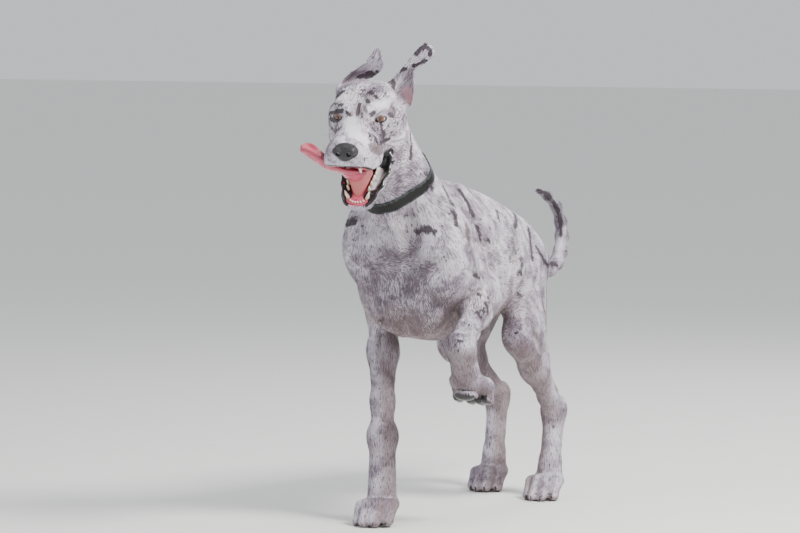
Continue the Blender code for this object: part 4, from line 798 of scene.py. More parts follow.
@dataclass
class Ears:
    """Both flung-up ears in the head's frame: front or inner edge, middle, outer edge, half thickness."""

    left: tuple = (
        ((0.036, 0.075, 0.028), (0.060, 0.105, 0.020), (0.070, 0.075, -0.004), 0.0045),
        ((0.044, 0.082, 0.046), (0.080, 0.112, 0.030), (0.095, 0.078, 0.004), 0.0032),
        ((0.058, 0.090, 0.061), (0.086, 0.116, 0.048), (0.099, 0.086, 0.040), 0.0030),
        ((0.073, 0.098, 0.079), (0.091, 0.112, 0.070), (0.097, 0.098, 0.072), 0.0030),
        ((0.089, 0.106, 0.098), (0.108, 0.112, 0.090), (0.121, 0.108, 0.090), 0.0030),
        ((0.103, 0.112, 0.117), (0.124, 0.116, 0.108), (0.138, 0.118, 0.106), 0.0028),
        ((0.118, 0.118, 0.131), (0.130, 0.121, 0.124), (0.137, 0.122, 0.119), 0.0024))
    right: tuple = (
        ((-0.064, 0.070, 0.020), (-0.060, 0.100, 0.018), (-0.034, 0.115, 0.030), 0.0045),
        ((-0.066, 0.074, 0.038), (-0.056, 0.112, 0.036), (-0.020, 0.130, 0.036), 0.0032),
        ((-0.050, 0.086, 0.058), (-0.036, 0.124, 0.052), (-0.002, 0.138, 0.042), 0.0030),
        ((-0.030, 0.098, 0.072), (-0.014, 0.130, 0.066), (0.014, 0.140, 0.056), 0.0030),
        ((-0.012, 0.110, 0.084), (0.002, 0.134, 0.078), (0.022, 0.138, 0.072), 0.0029),
        ((0.000, 0.120, 0.098), (0.010, 0.134, 0.092), (0.020, 0.134, 0.090), 0.0026),
        ((0.008, 0.128, 0.112), (0.011, 0.132, 0.111), (0.015, 0.132, 0.110), 0.0024))

    def forms(self) -> list[Form]:
        """One sheet an ear."""
        return [Sheet(self.left, 0.012), Sheet(self.right, 0.012)]


@dataclass
class Hound:
    """The whole animal's form in working coordinates."""

    trunk: Trunk = field(default_factory=Trunk)
    head: Head = field(default_factory=Head)
    ears: Ears = field(default_factory=Ears)
    tail: Tail = field(default_factory=Tail)
    forelegs: tuple = (
        Foreleg((0.045, 0.165, 0.700), (0.088, 0.005, 0.578), (0.116, 0.162, 0.494),
                (0.148, -0.034, 0.402), (0.146, 0.006, 0.322), (0.146, 0.058, 0.272)),
        Foreleg((-0.045, 0.165, 0.700), (-0.084, 0.005, 0.598), (-0.108, 0.118, 0.458),
                (-0.064, 0.020, 0.190), (-0.052, -0.010, 0.044), (-0.047, -0.088, 0.007)))
    hindlegs: tuple = (
        Hindleg((0.036, 0.570, 0.53), (0.103, 0.408, 0.386), (0.098, 0.605, 0.200),
                (0.100, 0.575, 0.043), (0.101, 0.500, 0.006), (0.022, 0.645, 0.530)),
        Hindleg((-0.036, 0.570, 0.53), (-0.094, 0.485, 0.360), (-0.088, 0.705, 0.215),
                (-0.086, 0.680, 0.044), (-0.084, 0.605, 0.007), (-0.022, 0.645, 0.530)))
    inset: float = 0.0008
    collar_at: Point = (-0.012, -0.033, 0.750)
    collar_axis: Point = (-0.08, -0.56, 0.82)

    def __post_init__(self) -> None:
        """Gather the forms once."""
        self.ear_forms = self.ears.forms()
        self.body_forms = list(self.trunk.forms())
        for leg in self.hindlegs + self.forelegs:
            self.body_forms += leg.forms() + leg.paw().forms()
        self.body_forms += self.tail.forms()
        self.grooves: list[Form] = []

    def paws(self) -> list[Paw]:
        """All four paws."""
        return [leg.paw() for leg in self.forelegs + self.hindlegs]

    def distance(self, points: Array) -> Array:
        """Distance to the whole skin."""
        return by_region(self.near_distance, points)

    def near_distance(self, points: Array) -> Array:
        """The same for points that lie close together."""
        in_head = self.head.inward(points)
        head = measure(self.ear_forms, in_head, self.head.distance(in_head))
        body = join(measure(self.body_forms, points), head, 0.03)
        return measure(self.grooves, points, body) + self.inset

    def past_collar(self, points: Array) -> Array:
        """How far each point lies on the head's side of the collar."""
        return (points - vec(*self.collar_at)) @ unit(self.collar_axis)


@dataclass(frozen=True)
class Viewpoint:
    """The photograph's viewing angle, in working coordinates."""

    azimuth: float = 24.0
    elevation: float = 4.0
    distance: float = 10.0
    aim: Point = (0.0, 0.30, 0.55)
    aim_pixel: Point = (461.0, 266.0)
    lens: float = 200.0
    sensor: float = 36.0
    size: Point = (800, 533)
    # Following a ray: metres before the aim that it starts, steps, least and longest stride, and a hit.
    before: float = 1.1
    steps: int = 90
    stride: tuple = (-0.004, 0.035)
    hit: float = 0.002

    def place(self) -> Array:
        """Where the camera stands."""
        a, e = math.radians(self.azimuth), math.radians(self.elevation)
        back = vec(math.sin(a) * math.cos(e), -math.cos(a) * math.cos(e), math.sin(e))
        return vec(*self.aim) + back * self.distance

    def focal(self) -> float:
        """Focal length in pixels."""
        return self.lens / self.sensor * self.size[0]

    def turn(self) -> Matrix:
        """Rotation that brings the aim onto its pixel."""
        back = Vector(unit(self.place() - vec(*self.aim)))
        turn = (-back).to_track_quat("-Z", "Y").to_matrix()
        dx = (self.aim_pixel[0] - self.size[0] / 2) / self.focal()
        dy = -(self.aim_pixel[1] - self.size[1] / 2) / self.focal()
        look = -back - turn.col[0] * dx - turn.col[1] * dy
        return look.to_track_quat("-Z", "Y").to_matrix()

    def rays(self, pixels: object) -> Array:
        """Directions through pixels of the photograph's frame."""
        right, up, back = (np.array(self.turn().col[i]) for i in range(3))
        pixels = np.asarray(pixels, float)
        across = (pixels[:, 0] - self.size[0] / 2) / self.focal()
        rise = -(pixels[:, 1] - self.size[1] / 2) / self.focal()
        ways = -back + across[:, None] * right + rise[:, None] * up
        return ways / length_of(ways)[:, None]

    def strike(self, distance: Distance, pixels: object) -> tuple[Array, Array]:
        """Follow the rays of pixels down to a surface.

        Args:
            distance: the surface's distance.
            pixels: rows of x and y in the photograph's frame.

        Returns:
            The points reached, and whether each ray struck.
        """
        ways = self.rays(pixels)
        spots = self.place() + ways * (self.distance - self.before)
        for _ in range(self.steps):
            spots = spots + ways * np.clip(distance(spots), *self.stride)[:, None]
        return spots, np.abs(distance(spots)) < self.hit


@dataclass(frozen=True)
class Groove:
    """A soft hollow in the skin: a line in the photograph's frame, its radius and depth in metres."""

    line: tuple
    radius: float
    deep: float
    both: bool = False


@dataclass
class Muscles:
    """Hollows between muscles and along tendons, pressed into the animal's form."""

    seen: tuple = (
        # Neck, breast and shoulder.
        Groove(((404, 206), (406, 222), (407, 240), (406, 254)), 0.018, 0.0115),
        Groove(((377, 216), (384, 232), (391, 246)), 0.016, 0.0075),
        Groove(((408, 259), (420, 265), (436, 267), (452, 262)), 0.017, 0.0085),
        Groove(((352, 264), (366, 273), (384, 277)), 0.014, 0.0055),
        Groove(((400, 268), (401, 282), (403, 296)), 0.014, 0.0065),
        Groove(((449, 190), (460, 206), (474, 222)), 0.016, 0.0045, True),
        Groove(((462, 232), (468, 250), (472, 262)), 0.014, 0.0048, True),
        Groove(((477, 228), (487, 246), (493, 262), (490, 276)), 0.017, 0.0080, True),
        Groove(((466, 268), (474, 274), (481, 277)), 0.006, 0.0030),
        Groove(((400, 166), (396, 184), (391, 198)), 0.007, 0.0018),
        Groove(((410, 150), (405, 176), (399, 198)), 0.008, 0.0020),
        Groove(((425, 192), (436, 206), (440, 222)), 0.016, 0.0025, True),
        # Flank and thigh.
        Groove(((494, 266), (499, 246), (509, 228)), 0.015, 0.0060, True),
        Groove(((508, 284), (513, 262), (521, 240)), 0.018, 0.0040, True),
        Groove(((533, 262), (537, 284), (538, 306)), 0.016, 0.0045, True),
        Groove(((524, 312), (530, 330), (540, 346)), 0.010, 0.0022),
        # Raised forearm and the standing one.
        Groove(((479, 290), (474, 306), (465, 322)), 0.009, 0.0020),
        Groove(((383, 316), (381, 332), (380, 350)), 0.007, 0.0016),
        Groove(((374, 296), (376, 316)), 0.009, 0.0020),
        # Face.
        Groove(((386, 141.5), (395, 143), (404, 139.5)), 0.0032, 0.0020),
        Groove(((373, 124), (382, 126.5), (391, 123)), 0.0032, 0.0011),
        Groove(((372, 128), (370, 138), (373, 147)), 0.0055, 0.0017),
        Groove(((357.5, 103), (358.5, 114)), 0.0045, 0.0013),
        Groove(((364, 106), (366, 113)), 0.0040, 0.0010),
        Groove(((376, 159), (385, 153), (394, 149)), 0.0042, 0.0014),
        Groove(((331, 125), (333, 136)), 0.0045, 0.0012),
        Groove(((346, 132), (345, 142)), 0.0040, 0.0010),
        Groove(((391, 149), (397, 157), (397, 168)), 0.0045, 0.0020),
    )
    ribs: int = 6
    nape: tuple = ((0, 0.26, 0.74), (0, 0.45, 0.70), (0, 0.62, 0.64))
    # Radius and depth of the hollows that no photograph line gives.
    rib: tuple = (0.011, 0.0013)
    back: tuple = (0.014, 0.0018)
    shin: tuple = (0.008, 0.0032)
    forearm: tuple = (0.008, 0.0016)
    # Shares of the way from knee to hock, and from elbow to wrist.
    behind_shin: tuple = (0.62, 0.78, 0.92)
    along_forearm: tuple = (0.2, 0.5, 0.85)

    def press(self, hound: Hound, view: Viewpoint) -> None:
        """Lay every line on the form, then give the hollows to the hound."""
        made: list[Form] = []
        for groove in self.seen:
            line = np.array(groove.line, float)
            spots, struck = view.strike(hound.distance, line)
            spots = spots[struck]
            made += self.hollow(hound, spots, groove.radius, groove.deep)
            if groove.both:
                made += self.hollow(hound, spots * vec(-1, 1, 1), groove.radius, groove.deep)
        for s in (-1, 1):
            for n in range(self.ribs):
                top, low = vec(s * 0.13, 0.20 + 0.036 * n, 0.635), vec(s * 0.13, 0.245 + 0.038 * n, 0.485)
                made += self.hollow(hound, np.array([top, between(top, low, 0.5), low]), *self.rib)
        made += self.hollow(hound, np.array(self.nape, float), *self.back)
        for leg in hound.hindlegs:
            side = vec(math.copysign(0.03, leg.knee[0]), 0, 0)
            for s in (-1, 1):
                line = [between(leg.knee, leg.hock, t) + vec(0, 0.016, 0.010) + side * s
                        for t in self.behind_shin]
                made += self.hollow(hound, np.array(line), *self.shin)
        for leg in hound.forelegs:
            for s in (-1, 1):
                line = [between(leg.elbow, leg.wrist, t) + vec(s * 0.035, 0.012, 0)
                        for t in self.along_forearm]
                made += self.hollow(hound, np.array(line), *self.forearm)
        hound.grooves = made

    @staticmethod
    def hollow(hound: Hound, spots: Array, radius: float, deep: float) -> list[Form]:
        """Cut limbs that follow spots drawn onto the skin."""
        if len(spots) < 2:
            return []
        for _ in range(6):
            slope = gradient(hound.distance, spots, 0.002)
            slope /= length_of(slope)[:, None] + 1e-9
            spots = spots - slope * np.clip(hound.distance(spots), -0.03, 0.03)[:, None]
        spots = spots + slope * (radius - deep)
        thin = radius * 0.7
        radii = [thin] + [radius] * (len(spots) - 2) + [thin]
        return [Limb(a, b, ra, rb, radius * 0.9, cut=True)
                for a, b, ra, rb in zip(spots, spots[1:], radii, radii[1:])]


class Tint(Enum):
    """What a mark does to the coat."""

    DARK = "dark"
    BROWN = "brown"
    PALE = "pale"
    MOTTLE = "mottle"
    PINK = "pink"


@dataclass(frozen=True)
class Mark:
    """One coat mark: a line in the photograph's frame with its half width, in pixels."""

    tint: Tint
    line: tuple
    half: float


@dataclass
class Markings:
    """Where the merle coat's marks lie, and seeded ones on the sides that the photograph hides."""

    pixel: float = 0.00222
    spread: float = 0.9
    hidden: int = 34
    # A seeded mark's length and half width, how far it strays from the hair, and its bow.
    lengths: tuple = (0.006, 0.05)
    halves: tuple = (0.003, 0.009)
    stray: float = 0.35
    bow: float = 0.004
    marks: tuple = (
        # Ears.
        Mark(Tint.DARK, ((416, 53), (419, 48), (424, 46)), 2.6),
        Mark(Tint.DARK, ((424, 46), (430, 49), (430, 55)), 1.3),
        Mark(Tint.DARK, ((413, 66), (420, 64), (426, 61)), 0.9),
        Mark(Tint.DARK, ((402, 70), (405, 69)), 1.5),
        Mark(Tint.DARK, ((390, 81), (394, 84), (393, 88)), 2.4),
        Mark(Tint.DARK, ((366, 76), (371, 73), (374, 77)), 2.2),
        Mark(Tint.DARK, ((359, 77), (362, 76)), 1.4),
        Mark(Tint.DARK, ((377, 72), (378, 79)), 1.0),
        Mark(Tint.PINK, ((407, 92), (411, 99)), 4.5),
        # Brow and forehead.
        Mark(Tint.DARK, ((331, 107), (336, 98), (344, 91)), 1.1),
        Mark(Tint.DARK, ((359.5, 104), (358, 110), (357.5, 115)), 1.3),
        Mark(Tint.DARK, ((347, 113), (350, 115)), 1.1),
        Mark(Tint.DARK, ((367, 100), (369, 103)), 1.2),
        Mark(Tint.DARK, ((369, 92), (373, 94)), 1.2),
        Mark(Tint.DARK, ((375, 96), (377, 98)), 0.9),
        Mark(Tint.DARK, ((339, 105), (342, 105)), 1.3),
        Mark(Tint.MOTTLE, ((352, 88), (366, 94), (380, 92)), 8.0),
        Mark(Tint.MOTTLE, ((340, 92), (336, 102)), 5.0),
        # Round the eyes and down the cheeks.
        Mark(Tint.DARK, ((329, 114), (334, 112), (342, 111)), 1.6),
        Mark(Tint.DARK, ((330, 118), (334, 121), (341, 119)), 1.5),
        Mark(Tint.DARK, ((371, 114.5), (374, 112.5)), 1.2),
        Mark(Tint.DARK, ((389, 114.5), (393, 117)), 1.2),
        Mark(Tint.MOTTLE, ((330, 124), (334, 130), (343, 127)), 5.0),
        Mark(Tint.DARK, ((329, 134), (330, 139)), 1.5),
        Mark(Tint.DARK, ((381, 125), (382, 129)), 1.2),
        Mark(Tint.DARK, ((382, 132), (384, 136)), 2.0),
        Mark(Tint.DARK, ((375, 138), (377, 142)), 1.4),
        Mark(Tint.DARK, ((380, 143), (389, 139)), 1.2),
        Mark(Tint.DARK, ((369, 134), (370, 136)), 1.0),
        Mark(Tint.MOTTLE, ((375, 128), (384, 138), (372, 146)), 7.0),
        Mark(Tint.MOTTLE, ((395, 112), (400, 124), (396, 134)), 7.0),
        Mark(Tint.BROWN, ((371, 148), (378, 151), (382, 149)), 4.2),
        Mark(Tint.PALE, ((389, 140), (398, 139), (404, 135)), 1.8),
        Mark(Tint.PALE, ((352, 122), (354, 134), (364, 140)), 7.0),
        Mark(Tint.PALE, ((377, 104), (388, 104)), 4.0),
        Mark(Tint.PALE, ((338, 99), (344, 97)), 3.0),
        # Neck and shoulder.
        Mark(Tint.DARK, ((410, 131), (411, 144), (410.5, 159)), 0.8),
        Mark(Tint.DARK, ((425, 173), (428, 179), (431, 186)), 1.5),
        Mark(Tint.DARK, ((442, 185), (447, 195), (452, 205)), 1.8),
        Mark(Tint.DARK, ((452, 210), (455, 218), (456, 224)), 1.9),
        Mark(Tint.DARK, ((458, 189), (466, 200), (473, 215)), 2.0),
        Mark(Tint.DARK, ((467, 189), (474, 196)), 0.9),
        Mark(Tint.BROWN, ((466, 223), (468, 237)), 2.8),
        Mark(Tint.DARK, ((476, 225), (480, 240)), 1.3),
        Mark(Tint.DARK, ((417, 231), (423, 228), (429, 229)), 3.0),
        Mark(Tint.DARK, ((433, 230), (435, 231)), 1.5),
        Mark(Tint.DARK, ((348, 222), (354, 221)), 4.4),
        # Ribs, loin and rump.
        Mark(Tint.DARK, ((496, 211), (499, 221)), 1.9),
        Mark(Tint.DARK, ((489, 226), (490, 228)), 1.0),
        Mark(Tint.DARK, ((487, 239), (489, 240)), 1.1),
        Mark(Tint.DARK, ((514, 214), (516, 221), (514, 227)), 2.4),
        Mark(Tint.DARK, ((528, 229), (530, 243), (532, 259)), 2.4),
        Mark(Tint.DARK, ((518, 272), (521, 274)), 1.6),
        Mark(Tint.DARK, ((517, 295), (520, 296)), 1.6),
        Mark(Tint.MOTTLE, ((514, 250), (522, 262)), 5.0),
        Mark(Tint.BROWN, ((543, 306), (545, 312)), 2.4),
        # Raised foreleg.
        Mark(Tint.DARK, ((474, 275), (479, 277)), 1.6),
        Mark(Tint.DARK, ((478, 294), (480, 295)), 1.0),
        Mark(Tint.MOTTLE, ((478, 308), (486, 312), (490, 302)), 6.5),
        Mark(Tint.DARK, ((477, 312), (481, 316)), 1.4),
        Mark(Tint.DARK, ((485, 302), (487, 308)), 1.1),
        Mark(Tint.MOTTLE, ((448, 336), (455, 345)), 5.0),
        # Tail.
        Mark(Tint.DARK, ((541, 190), (547, 193), (551, 199)), 3.0),
        Mark(Tint.DARK, ((554, 203), (559, 213), (561, 224)), 1.8),
        Mark(Tint.DARK, ((561, 224), (561, 238)), 1.4),
        Mark(Tint.DARK, ((536, 248), (545, 262), (556, 266)), 2.2),
        Mark(Tint.PALE, ((563, 232), (559, 250)), 2.5),
    )

    def lay(self, hound: Hound, view: Viewpoint) -> None:
        """Find each mark's line on the animal."""
        pixels, owners = [], []
        for n, mark in enumerate(self.marks):
            line = np.array(mark.line, float)
            steps = np.concatenate([[0], np.cumsum(length_of(np.diff(line, axis=0)))])
            places = np.linspace(0, steps[-1], max(2, int(steps[-1] / 2.5) + 1))
            spots = np.stack([np.interp(places, steps, line[:, i]) for i in (0, 1)], axis=1)
            pixels.append(spots)
            owners += [n] * len(spots)
        spots, struck = view.strike(hound.distance, np.concatenate(pixels))
        owners_at = np.array(owners)
        self.lines = [spots[(owners_at == n) & struck] for n in range(len(self.marks))]
        missed = [i for i, line in enumerate(self.lines) if len(line) == 0]
        LOG.info("marks laid: %d, missed: %s", len(self.lines) - len(missed), missed)

    def strength(self, tint: Tint, points: Array) -> Array:
        """How strongly one tint covers each point, half at a mark's edge."""
        best = np.zeros(len(points))
        for mark, line in zip(self.marks, self.lines):
            if mark.tint is not tint or not len(line):
                continue
            half = (mark.half + self.spread) * self.pixel
            soft = min(0.9 * half, 0.006) if tint is not Tint.MOTTLE else half
            middle = line.mean(0)
            reach = length_of(line - middle).max() + half + soft
            near = np.flatnonzero(((points - middle) ** 2).sum(1) < reach**2)
            away = path_distance(points[near], line) - half
            best[near] = np.maximum(best[near], soft_step(away, soft, -soft))
        return best

    def unseen(self, points: Array, lie: Array, away: Array) -> Array:
        """Seeded patches along the hair on the sides turned from the photograph.

        Args:
            points: the skin's points.
            lie: the hair's direction there.
            away: how far each point is turned from the photograph, 0 to 1.

        Returns:
            Strength of the dark patches.
        """
        random = np.random.default_rng(SEED)
        pool = np.flatnonzero(away > 0.9)
        best = np.zeros(len(points))
        if not len(pool):
            return best
        for start in random.choice(pool, self.hidden):
            way = unit(lie[start] * random.choice([-1, 1]) + random.normal(0, self.stray, 3))
            length = random.uniform(*self.lengths)
            middle = points[start] + way * length / 2 + random.normal(0, self.bow, 3)
            line = np.array([points[start], middle, points[start] + way * length])
            half = random.uniform(*self.halves)
            best = np.maximum(best, soft_step(path_distance(points, line) - half, 0.004, -0.004))
        return best * soft_step(away, 0.5, 0.9)


class Weaver:
    """Adds nodes to one tree with short calls."""

    def __init__(self, tree: bpy.types.NodeTree) -> None:
        """Keep the tree."""
        self.tree = tree

    def put(self, kind: str, inputs: Optional[dict] = None, **settings: object) -> bpy.types.Node:
        """Add a node, set its options, and link or set its inputs."""
        node = self.tree.nodes.new(kind)
        for name, value in settings.items():
            setattr(node, name, value)
        for name, value in (inputs or {}).items():
            if isinstance(value, Socket):
                self.tree.links.new(value, node.inputs[name])
            else:
                node.inputs[name].default_value = value
        return node

    def maths(self, operation: str, a: object, b: object = 0.0, clamp: bool = False) -> Socket:
        """A number from two."""
        return self.put("ShaderNodeMath", {0: a, 1: b}, operation=operation, use_clamp=clamp).outputs[0]

    def plus(self, a: object, b: object) -> Socket:
        """The sum of two numbers."""
        return self.maths("ADD", a, b)

    def times(self, a: object, b: object) -> Socket:
        """The product of two numbers."""
        return self.maths("MULTIPLY", a, b)

    def less(self, a: object, b: object) -> Socket:
        """The first number without the second."""
        return self.maths("SUBTRACT", a, b)

    def vectors(self, operation: str, a: object, b: object = (0, 0, 0)) -> Socket:
        """A vector from two."""
        return self.put("ShaderNodeVectorMath", {0: a, 1: b}, operation=operation).outputs[0]

    def stretch(self, vector: object, by: object) -> Socket:
        """A vector made longer."""
        return self.put("ShaderNodeVectorMath", {0: vector, "Scale": by}, operation="SCALE").outputs[0]

    def step(self, value: object, low: float, high: float, top: float = 1.0) -> Socket:
        """Smooth rise from 0 at low to top at high."""
        inputs = {"Value": value, "From Min": low, "From Max": high, "To Max": top}
        return self.put("ShaderNodeMapRange", inputs, interpolation_type="SMOOTHSTEP").outputs[0]

    def mix(self, share: object, first: object, second: object) -> Socket:
        """A colour between two."""
        return self.put("ShaderNodeMix", {0: share, 6: first, 7: second}, data_type="RGBA").outputs[2]

    def noise(self, vector: object, scale: object, detail: float = 2.0) -> Socket:
        """Soft noise, 0 to 1."""
        return self.put("ShaderNodeTexNoise", {"Vector": vector, "Scale": scale, "Detail": detail}).outputs[0]

    def attribute(self, name: str) -> Socket:
        """A number stored on the mesh."""
        return self.put("ShaderNodeAttribute", attribute_name=name).outputs["Fac"]

    def direction(self, name: str) -> Socket:
        """A vector stored on the mesh."""
        return self.put("ShaderNodeAttribute", attribute_name=name).outputs["Vector"]

    def place(self) -> Socket:
        """Object coordinates."""
        return self.put("ShaderNodeTexCoord").outputs["Object"]

    def bump(self, height: object, strength: float, deep: float, under: object = None) -> Socket:
        """A normal from a height."""
        inputs = {"Height": height, "Strength": strength, "Distance": deep}
        if under is not None:
            inputs["Normal"] = under
        return self.put("ShaderNodeBump", inputs).outputs[0]


def tone(red: float, green: float, blue: float) -> tuple[float, float, float, float]:
    """A colour from its display values, 0 to 255."""
    linear = [((c / 255 + 0.055) / 1.055) ** 2.4 if c > 10.3 else c / 255 / 12.92 for c in (red, green, blue)]
    return (*linear, 1.0)


def streak_group() -> bpy.types.NodeTree:
    """Noise drawn out along the hair: built once for all materials."""
    name = "hair streaks"
    tree = bpy.data.node_groups.get(name)
    if tree:
        return tree
    tree = bpy.data.node_groups.new(name, "ShaderNodeTree")
    for label, kind in (("Place", "NodeSocketVector"), ("Lie", "NodeSocketVector"),
                        ("Scale", "NodeSocketFloat"), ("Length", "NodeSocketFloat")):
        tree.interface.new_socket(label, in_out="INPUT", socket_type=kind)
    tree.interface.new_socket("Height", in_out="OUTPUT", socket_type="NodeSocketFloat")
    w = Weaver(tree)
    given = w.put("NodeGroupInput").outputs
    total: object = 0.0
    taps = 6
    for i in range(taps):
        share = w.times(given["Length"], i / (taps - 1) - 0.5)
        spot = w.vectors("ADD", given["Place"], w.stretch(given["Lie"], share))
        total = w.plus(total, w.noise(spot, given["Scale"], 1.0))
    height = w.step(w.maths("DIVIDE", total, taps), 0.37, 0.63)
    w.put("NodeGroupOutput", {"Height": height})
    return tree


class Slot(Enum):
    """Material slot labels that the finishes carry."""

    COAT = "coat"
    NOSE = "nose"
    EYE = "eye"
    TONGUE = "tongue"
    COLLAR = "collar"
    BUCKLE = "buckle"
    TEETH = "teeth"
    CLAW = "claw"


@dataclass(frozen=True)
class Finish:
    """A procedural material; each kind builds its own nodes."""

    name: str
    slot: Slot

    def dress(self, w: Weaver, shader: bpy.types.Node) -> None:
        """Feed the shader."""
        raise NotImplementedError

    def material(self) -> bpy.types.Material:
        """The material, built the first time it is asked for."""
        found = bpy.data.materials.get(self.name)
        if found:
            return found
        made = bpy.data.materials.new(self.name)
        made.use_nodes = True
        tree = made.node_tree
        tree.nodes.clear()
        w = Weaver(tree)
        shader = w.put("ShaderNodeBsdfPrincipled")
        w.put("ShaderNodeOutputMaterial", {"Surface": shader.outputs[0]})
        self.dress(w, shader)
        return made

    @staticmethod
    def feed(w: Weaver, shader: bpy.types.Node, **inputs: object) -> None:
        """Link or set the shader's inputs, named with underscores for spaces."""
        for name, value in inputs.items():
            socket = shader.inputs[name.replace("_", " ")]
            if isinstance(value, Socket):
                w.tree.links.new(value, socket)
            else:
                socket.default_value = value


@dataclass(frozen=True)
class CoatFinish(Finish):
    """Short merle hair with pink, black and wet bare skin where it ends."""

    pale: tuple = tone(226, 219, 231)
    lilac: tuple = tone(168, 156, 172)
    fleck: tuple = tone(92, 80, 94)
    dark: tuple = tone(52, 42, 50)
    # brown: the warm tint of undersides, inner legs and hollows, which also paints their shade.
    brown: tuple = tone(142, 120, 112)
    pink: tuple = tone(226, 178, 184)
    flesh: tuple = tone(196, 96, 112)
    black: tuple = tone(24, 21, 24)

    def dress(self, w: Weaver, shader: bpy.types.Node) -> None:
        """Feed the shader."""
        place, lie = w.place(), w.direction("lie")
        streaks = streak_group()

        def streak(scale: float, length: float) -> Socket:
            """Streaks of one size."""
            return w.put("ShaderNodeGroup", {"Place": place, "Lie": lie, "Scale": scale, "Length": length},
                         node_tree=streaks).outputs[0]

        fine, roan = streak(950.0, 0.0045), streak(430.0, 0.0065)
        broad, cloud = w.noise(place, 26.0, 3.0), w.noise(place, 8.0, 2.0)
        mottle, hollow = w.attribute("mottle"), w.attribute("hollow")
        colour = w.mix(w.step(w.plus(broad, w.times(cloud, 0.5)), 0.62, 0.92), self.pale, self.lilac)
        grey = w.plus(roan, w.times(w.less(broad, 0.5), 0.9))
        painted_shade = w.attribute("painted_shade")
        grey = w.plus(grey, w.times(mottle, 0.35))
        # Painted shade: darker coat in the shaded zones.
        grey = w.plus(grey, w.times(painted_shade, 0.42))
        colour = w.mix(w.step(grey, 0.45, 0.95, 0.8), colour, self.fleck)
        spots = w.plus(w.noise(place, 95.0, 2.0), w.times(mottle, 0.14))
        spots = w.plus(spots, w.times(roan, 0.08))
        colour = w.mix(w.step(spots, 0.70, 0.76, 0.85), colour, self.dark)
        snow = w.times(w.attribute("pale"), w.less(1.0, w.times(roan, 0.25)))
        colour = w.mix(snow, colour, tone(244, 240, 246))
        # Warm tint with painted shade: browner, darker coat on undersides, inner legs and in hollows.
        colour = w.mix(w.times(w.attribute("warm_tint_and_shade"), 0.75), colour, self.brown)
        colour = w.mix(w.times(w.times(w.attribute("warm_tint_and_shade"), roan), 0.5), colour, self.fleck)
        brown = w.step(w.plus(w.attribute("brown"), w.times(w.less(roan, 0.5), 0.5)), 0.35, 0.65, 0.8)
        colour = w.mix(brown, colour, tone(104, 86, 84))
        ragged = w.times(w.less(roan, 0.5), 0.55)
        dark = w.step(w.plus(w.attribute("dark"), ragged), 0.34, 0.56, 0.94)
        colour = w.mix(dark, colour, self.dark)
        # Painted shade: darker, browner coat in folds and creases.
        colour = w.mix(w.times(hollow, 0.55), colour, tone(88, 72, 66))
        shade = w.step(fine, 0.0, 1.0)
        colour = w.mix(w.times(w.less(1.0, shade), 0.22), colour, self.fleck)
        pink, black, wet = w.attribute("pink"), w.attribute("black"), w.attribute("wet")
        colour = w.mix(w.times(pink, 0.8), colour, self.pink)
        veins = w.step(w.noise(place, 240.0, 2.0), 0.35, 0.7)
        flesh = w.mix(veins, self.flesh, tone(164, 62, 82))
        colour = w.mix(wet, colour, flesh)
        blotch = w.step(w.plus(black, w.times(w.less(w.noise(place, 170.0, 2.0), 0.5), 0.5)), 0.35, 0.6)
        colour = w.mix(blotch, colour, self.black)
        bare = w.maths("MAXIMUM", w.maths("MAXIMUM", wet, black), w.times(pink, 0.5), True)
        hair = w.bump(fine, 0.55, 0.0007, w.bump(roan, 0.25, 0.0010))
        pores = w.bump(w.noise(place, 700.0, 2.0), 0.35, 0.0004)
        normal = w.put("ShaderNodeMix", {0: bare, 4: hair, 5: pores}, data_type="VECTOR").outputs[1]
        rough = w.less(w.plus(0.62, w.times(fine, 0.18)), w.times(bare, 0.42))
        self.feed(w, shader, Base_Color=colour, Roughness=rough, Normal=normal, Specular_IOR_Level=0.35,
                  Coat_Weight=w.times(bare, 0.6), Coat_Roughness=0.16)


@dataclass(frozen=True)
class NoseFinish(Finish):
    """Pebbled black nose leather, moist, with painted shade in the grooves between the pebbles."""

    def dress(self, w: Weaver, shader: bpy.types.Node) -> None:
        """Feed the shader."""
        place = w.place()
        cells = w.put("ShaderNodeTexVoronoi", {"Vector": place, "Scale": 620.0}, feature="DISTANCE_TO_EDGE")
        pebble = w.step(cells.outputs[0], 0.02, 0.22)
        colour = w.mix(w.noise(place, 160.0), tone(12, 12, 14), tone(30, 29, 34))
        # Painted shade: the pebbles' tops lighter than the grooves between them.
        colour = w.mix(w.times(pebble, 0.4), colour, tone(40, 39, 46))
        self.feed(w, shader, Base_Color=colour, Roughness=w.plus(0.30, w.times(pebble, 0.16)),
                  Normal=w.bump(pebble, 0.6, 0.0005), Coat_Weight=0.25, Coat_Roughness=0.25)


@dataclass(frozen=True)
class EyeFinish(Finish):
    """Amber iris, dark pupil and a wet coat."""

    def dress(self, w: Weaver, shader: bpy.types.Node) -> None:
        """Feed the shader."""
        round_, ray = w.attribute("round"), w.direction("ray")
        fibre = w.noise(w.vectors("ADD", w.stretch(ray, 9.0), w.stretch(w.place(), 30.0)), 1.6, 4.0)
        iris = w.mix(w.step(fibre, 0.35, 0.7), tone(76, 36, 20), tone(148, 84, 42))
        iris = w.mix(w.step(round_, 0.40, 0.52), iris, tone(38, 20, 14))
        iris = w.mix(w.step(round_, 0.20, 0.17), iris, tone(6, 5, 6))
        veins = w.step(w.noise(w.place(), 500.0), 0.4, 0.7, 0.5)
        white = w.mix(veins, tone(206, 186, 182), tone(168, 92, 84))
        colour = w.mix(w.step(round_, 0.50, 0.56), iris, white)
        self.feed(w, shader, Base_Color=colour, Roughness=w.plus(0.22, w.times(fibre, 0.1)),
                  Normal=w.bump(fibre, 0.1, 0.0002), Coat_Weight=1.0, Coat_Roughness=0.03)


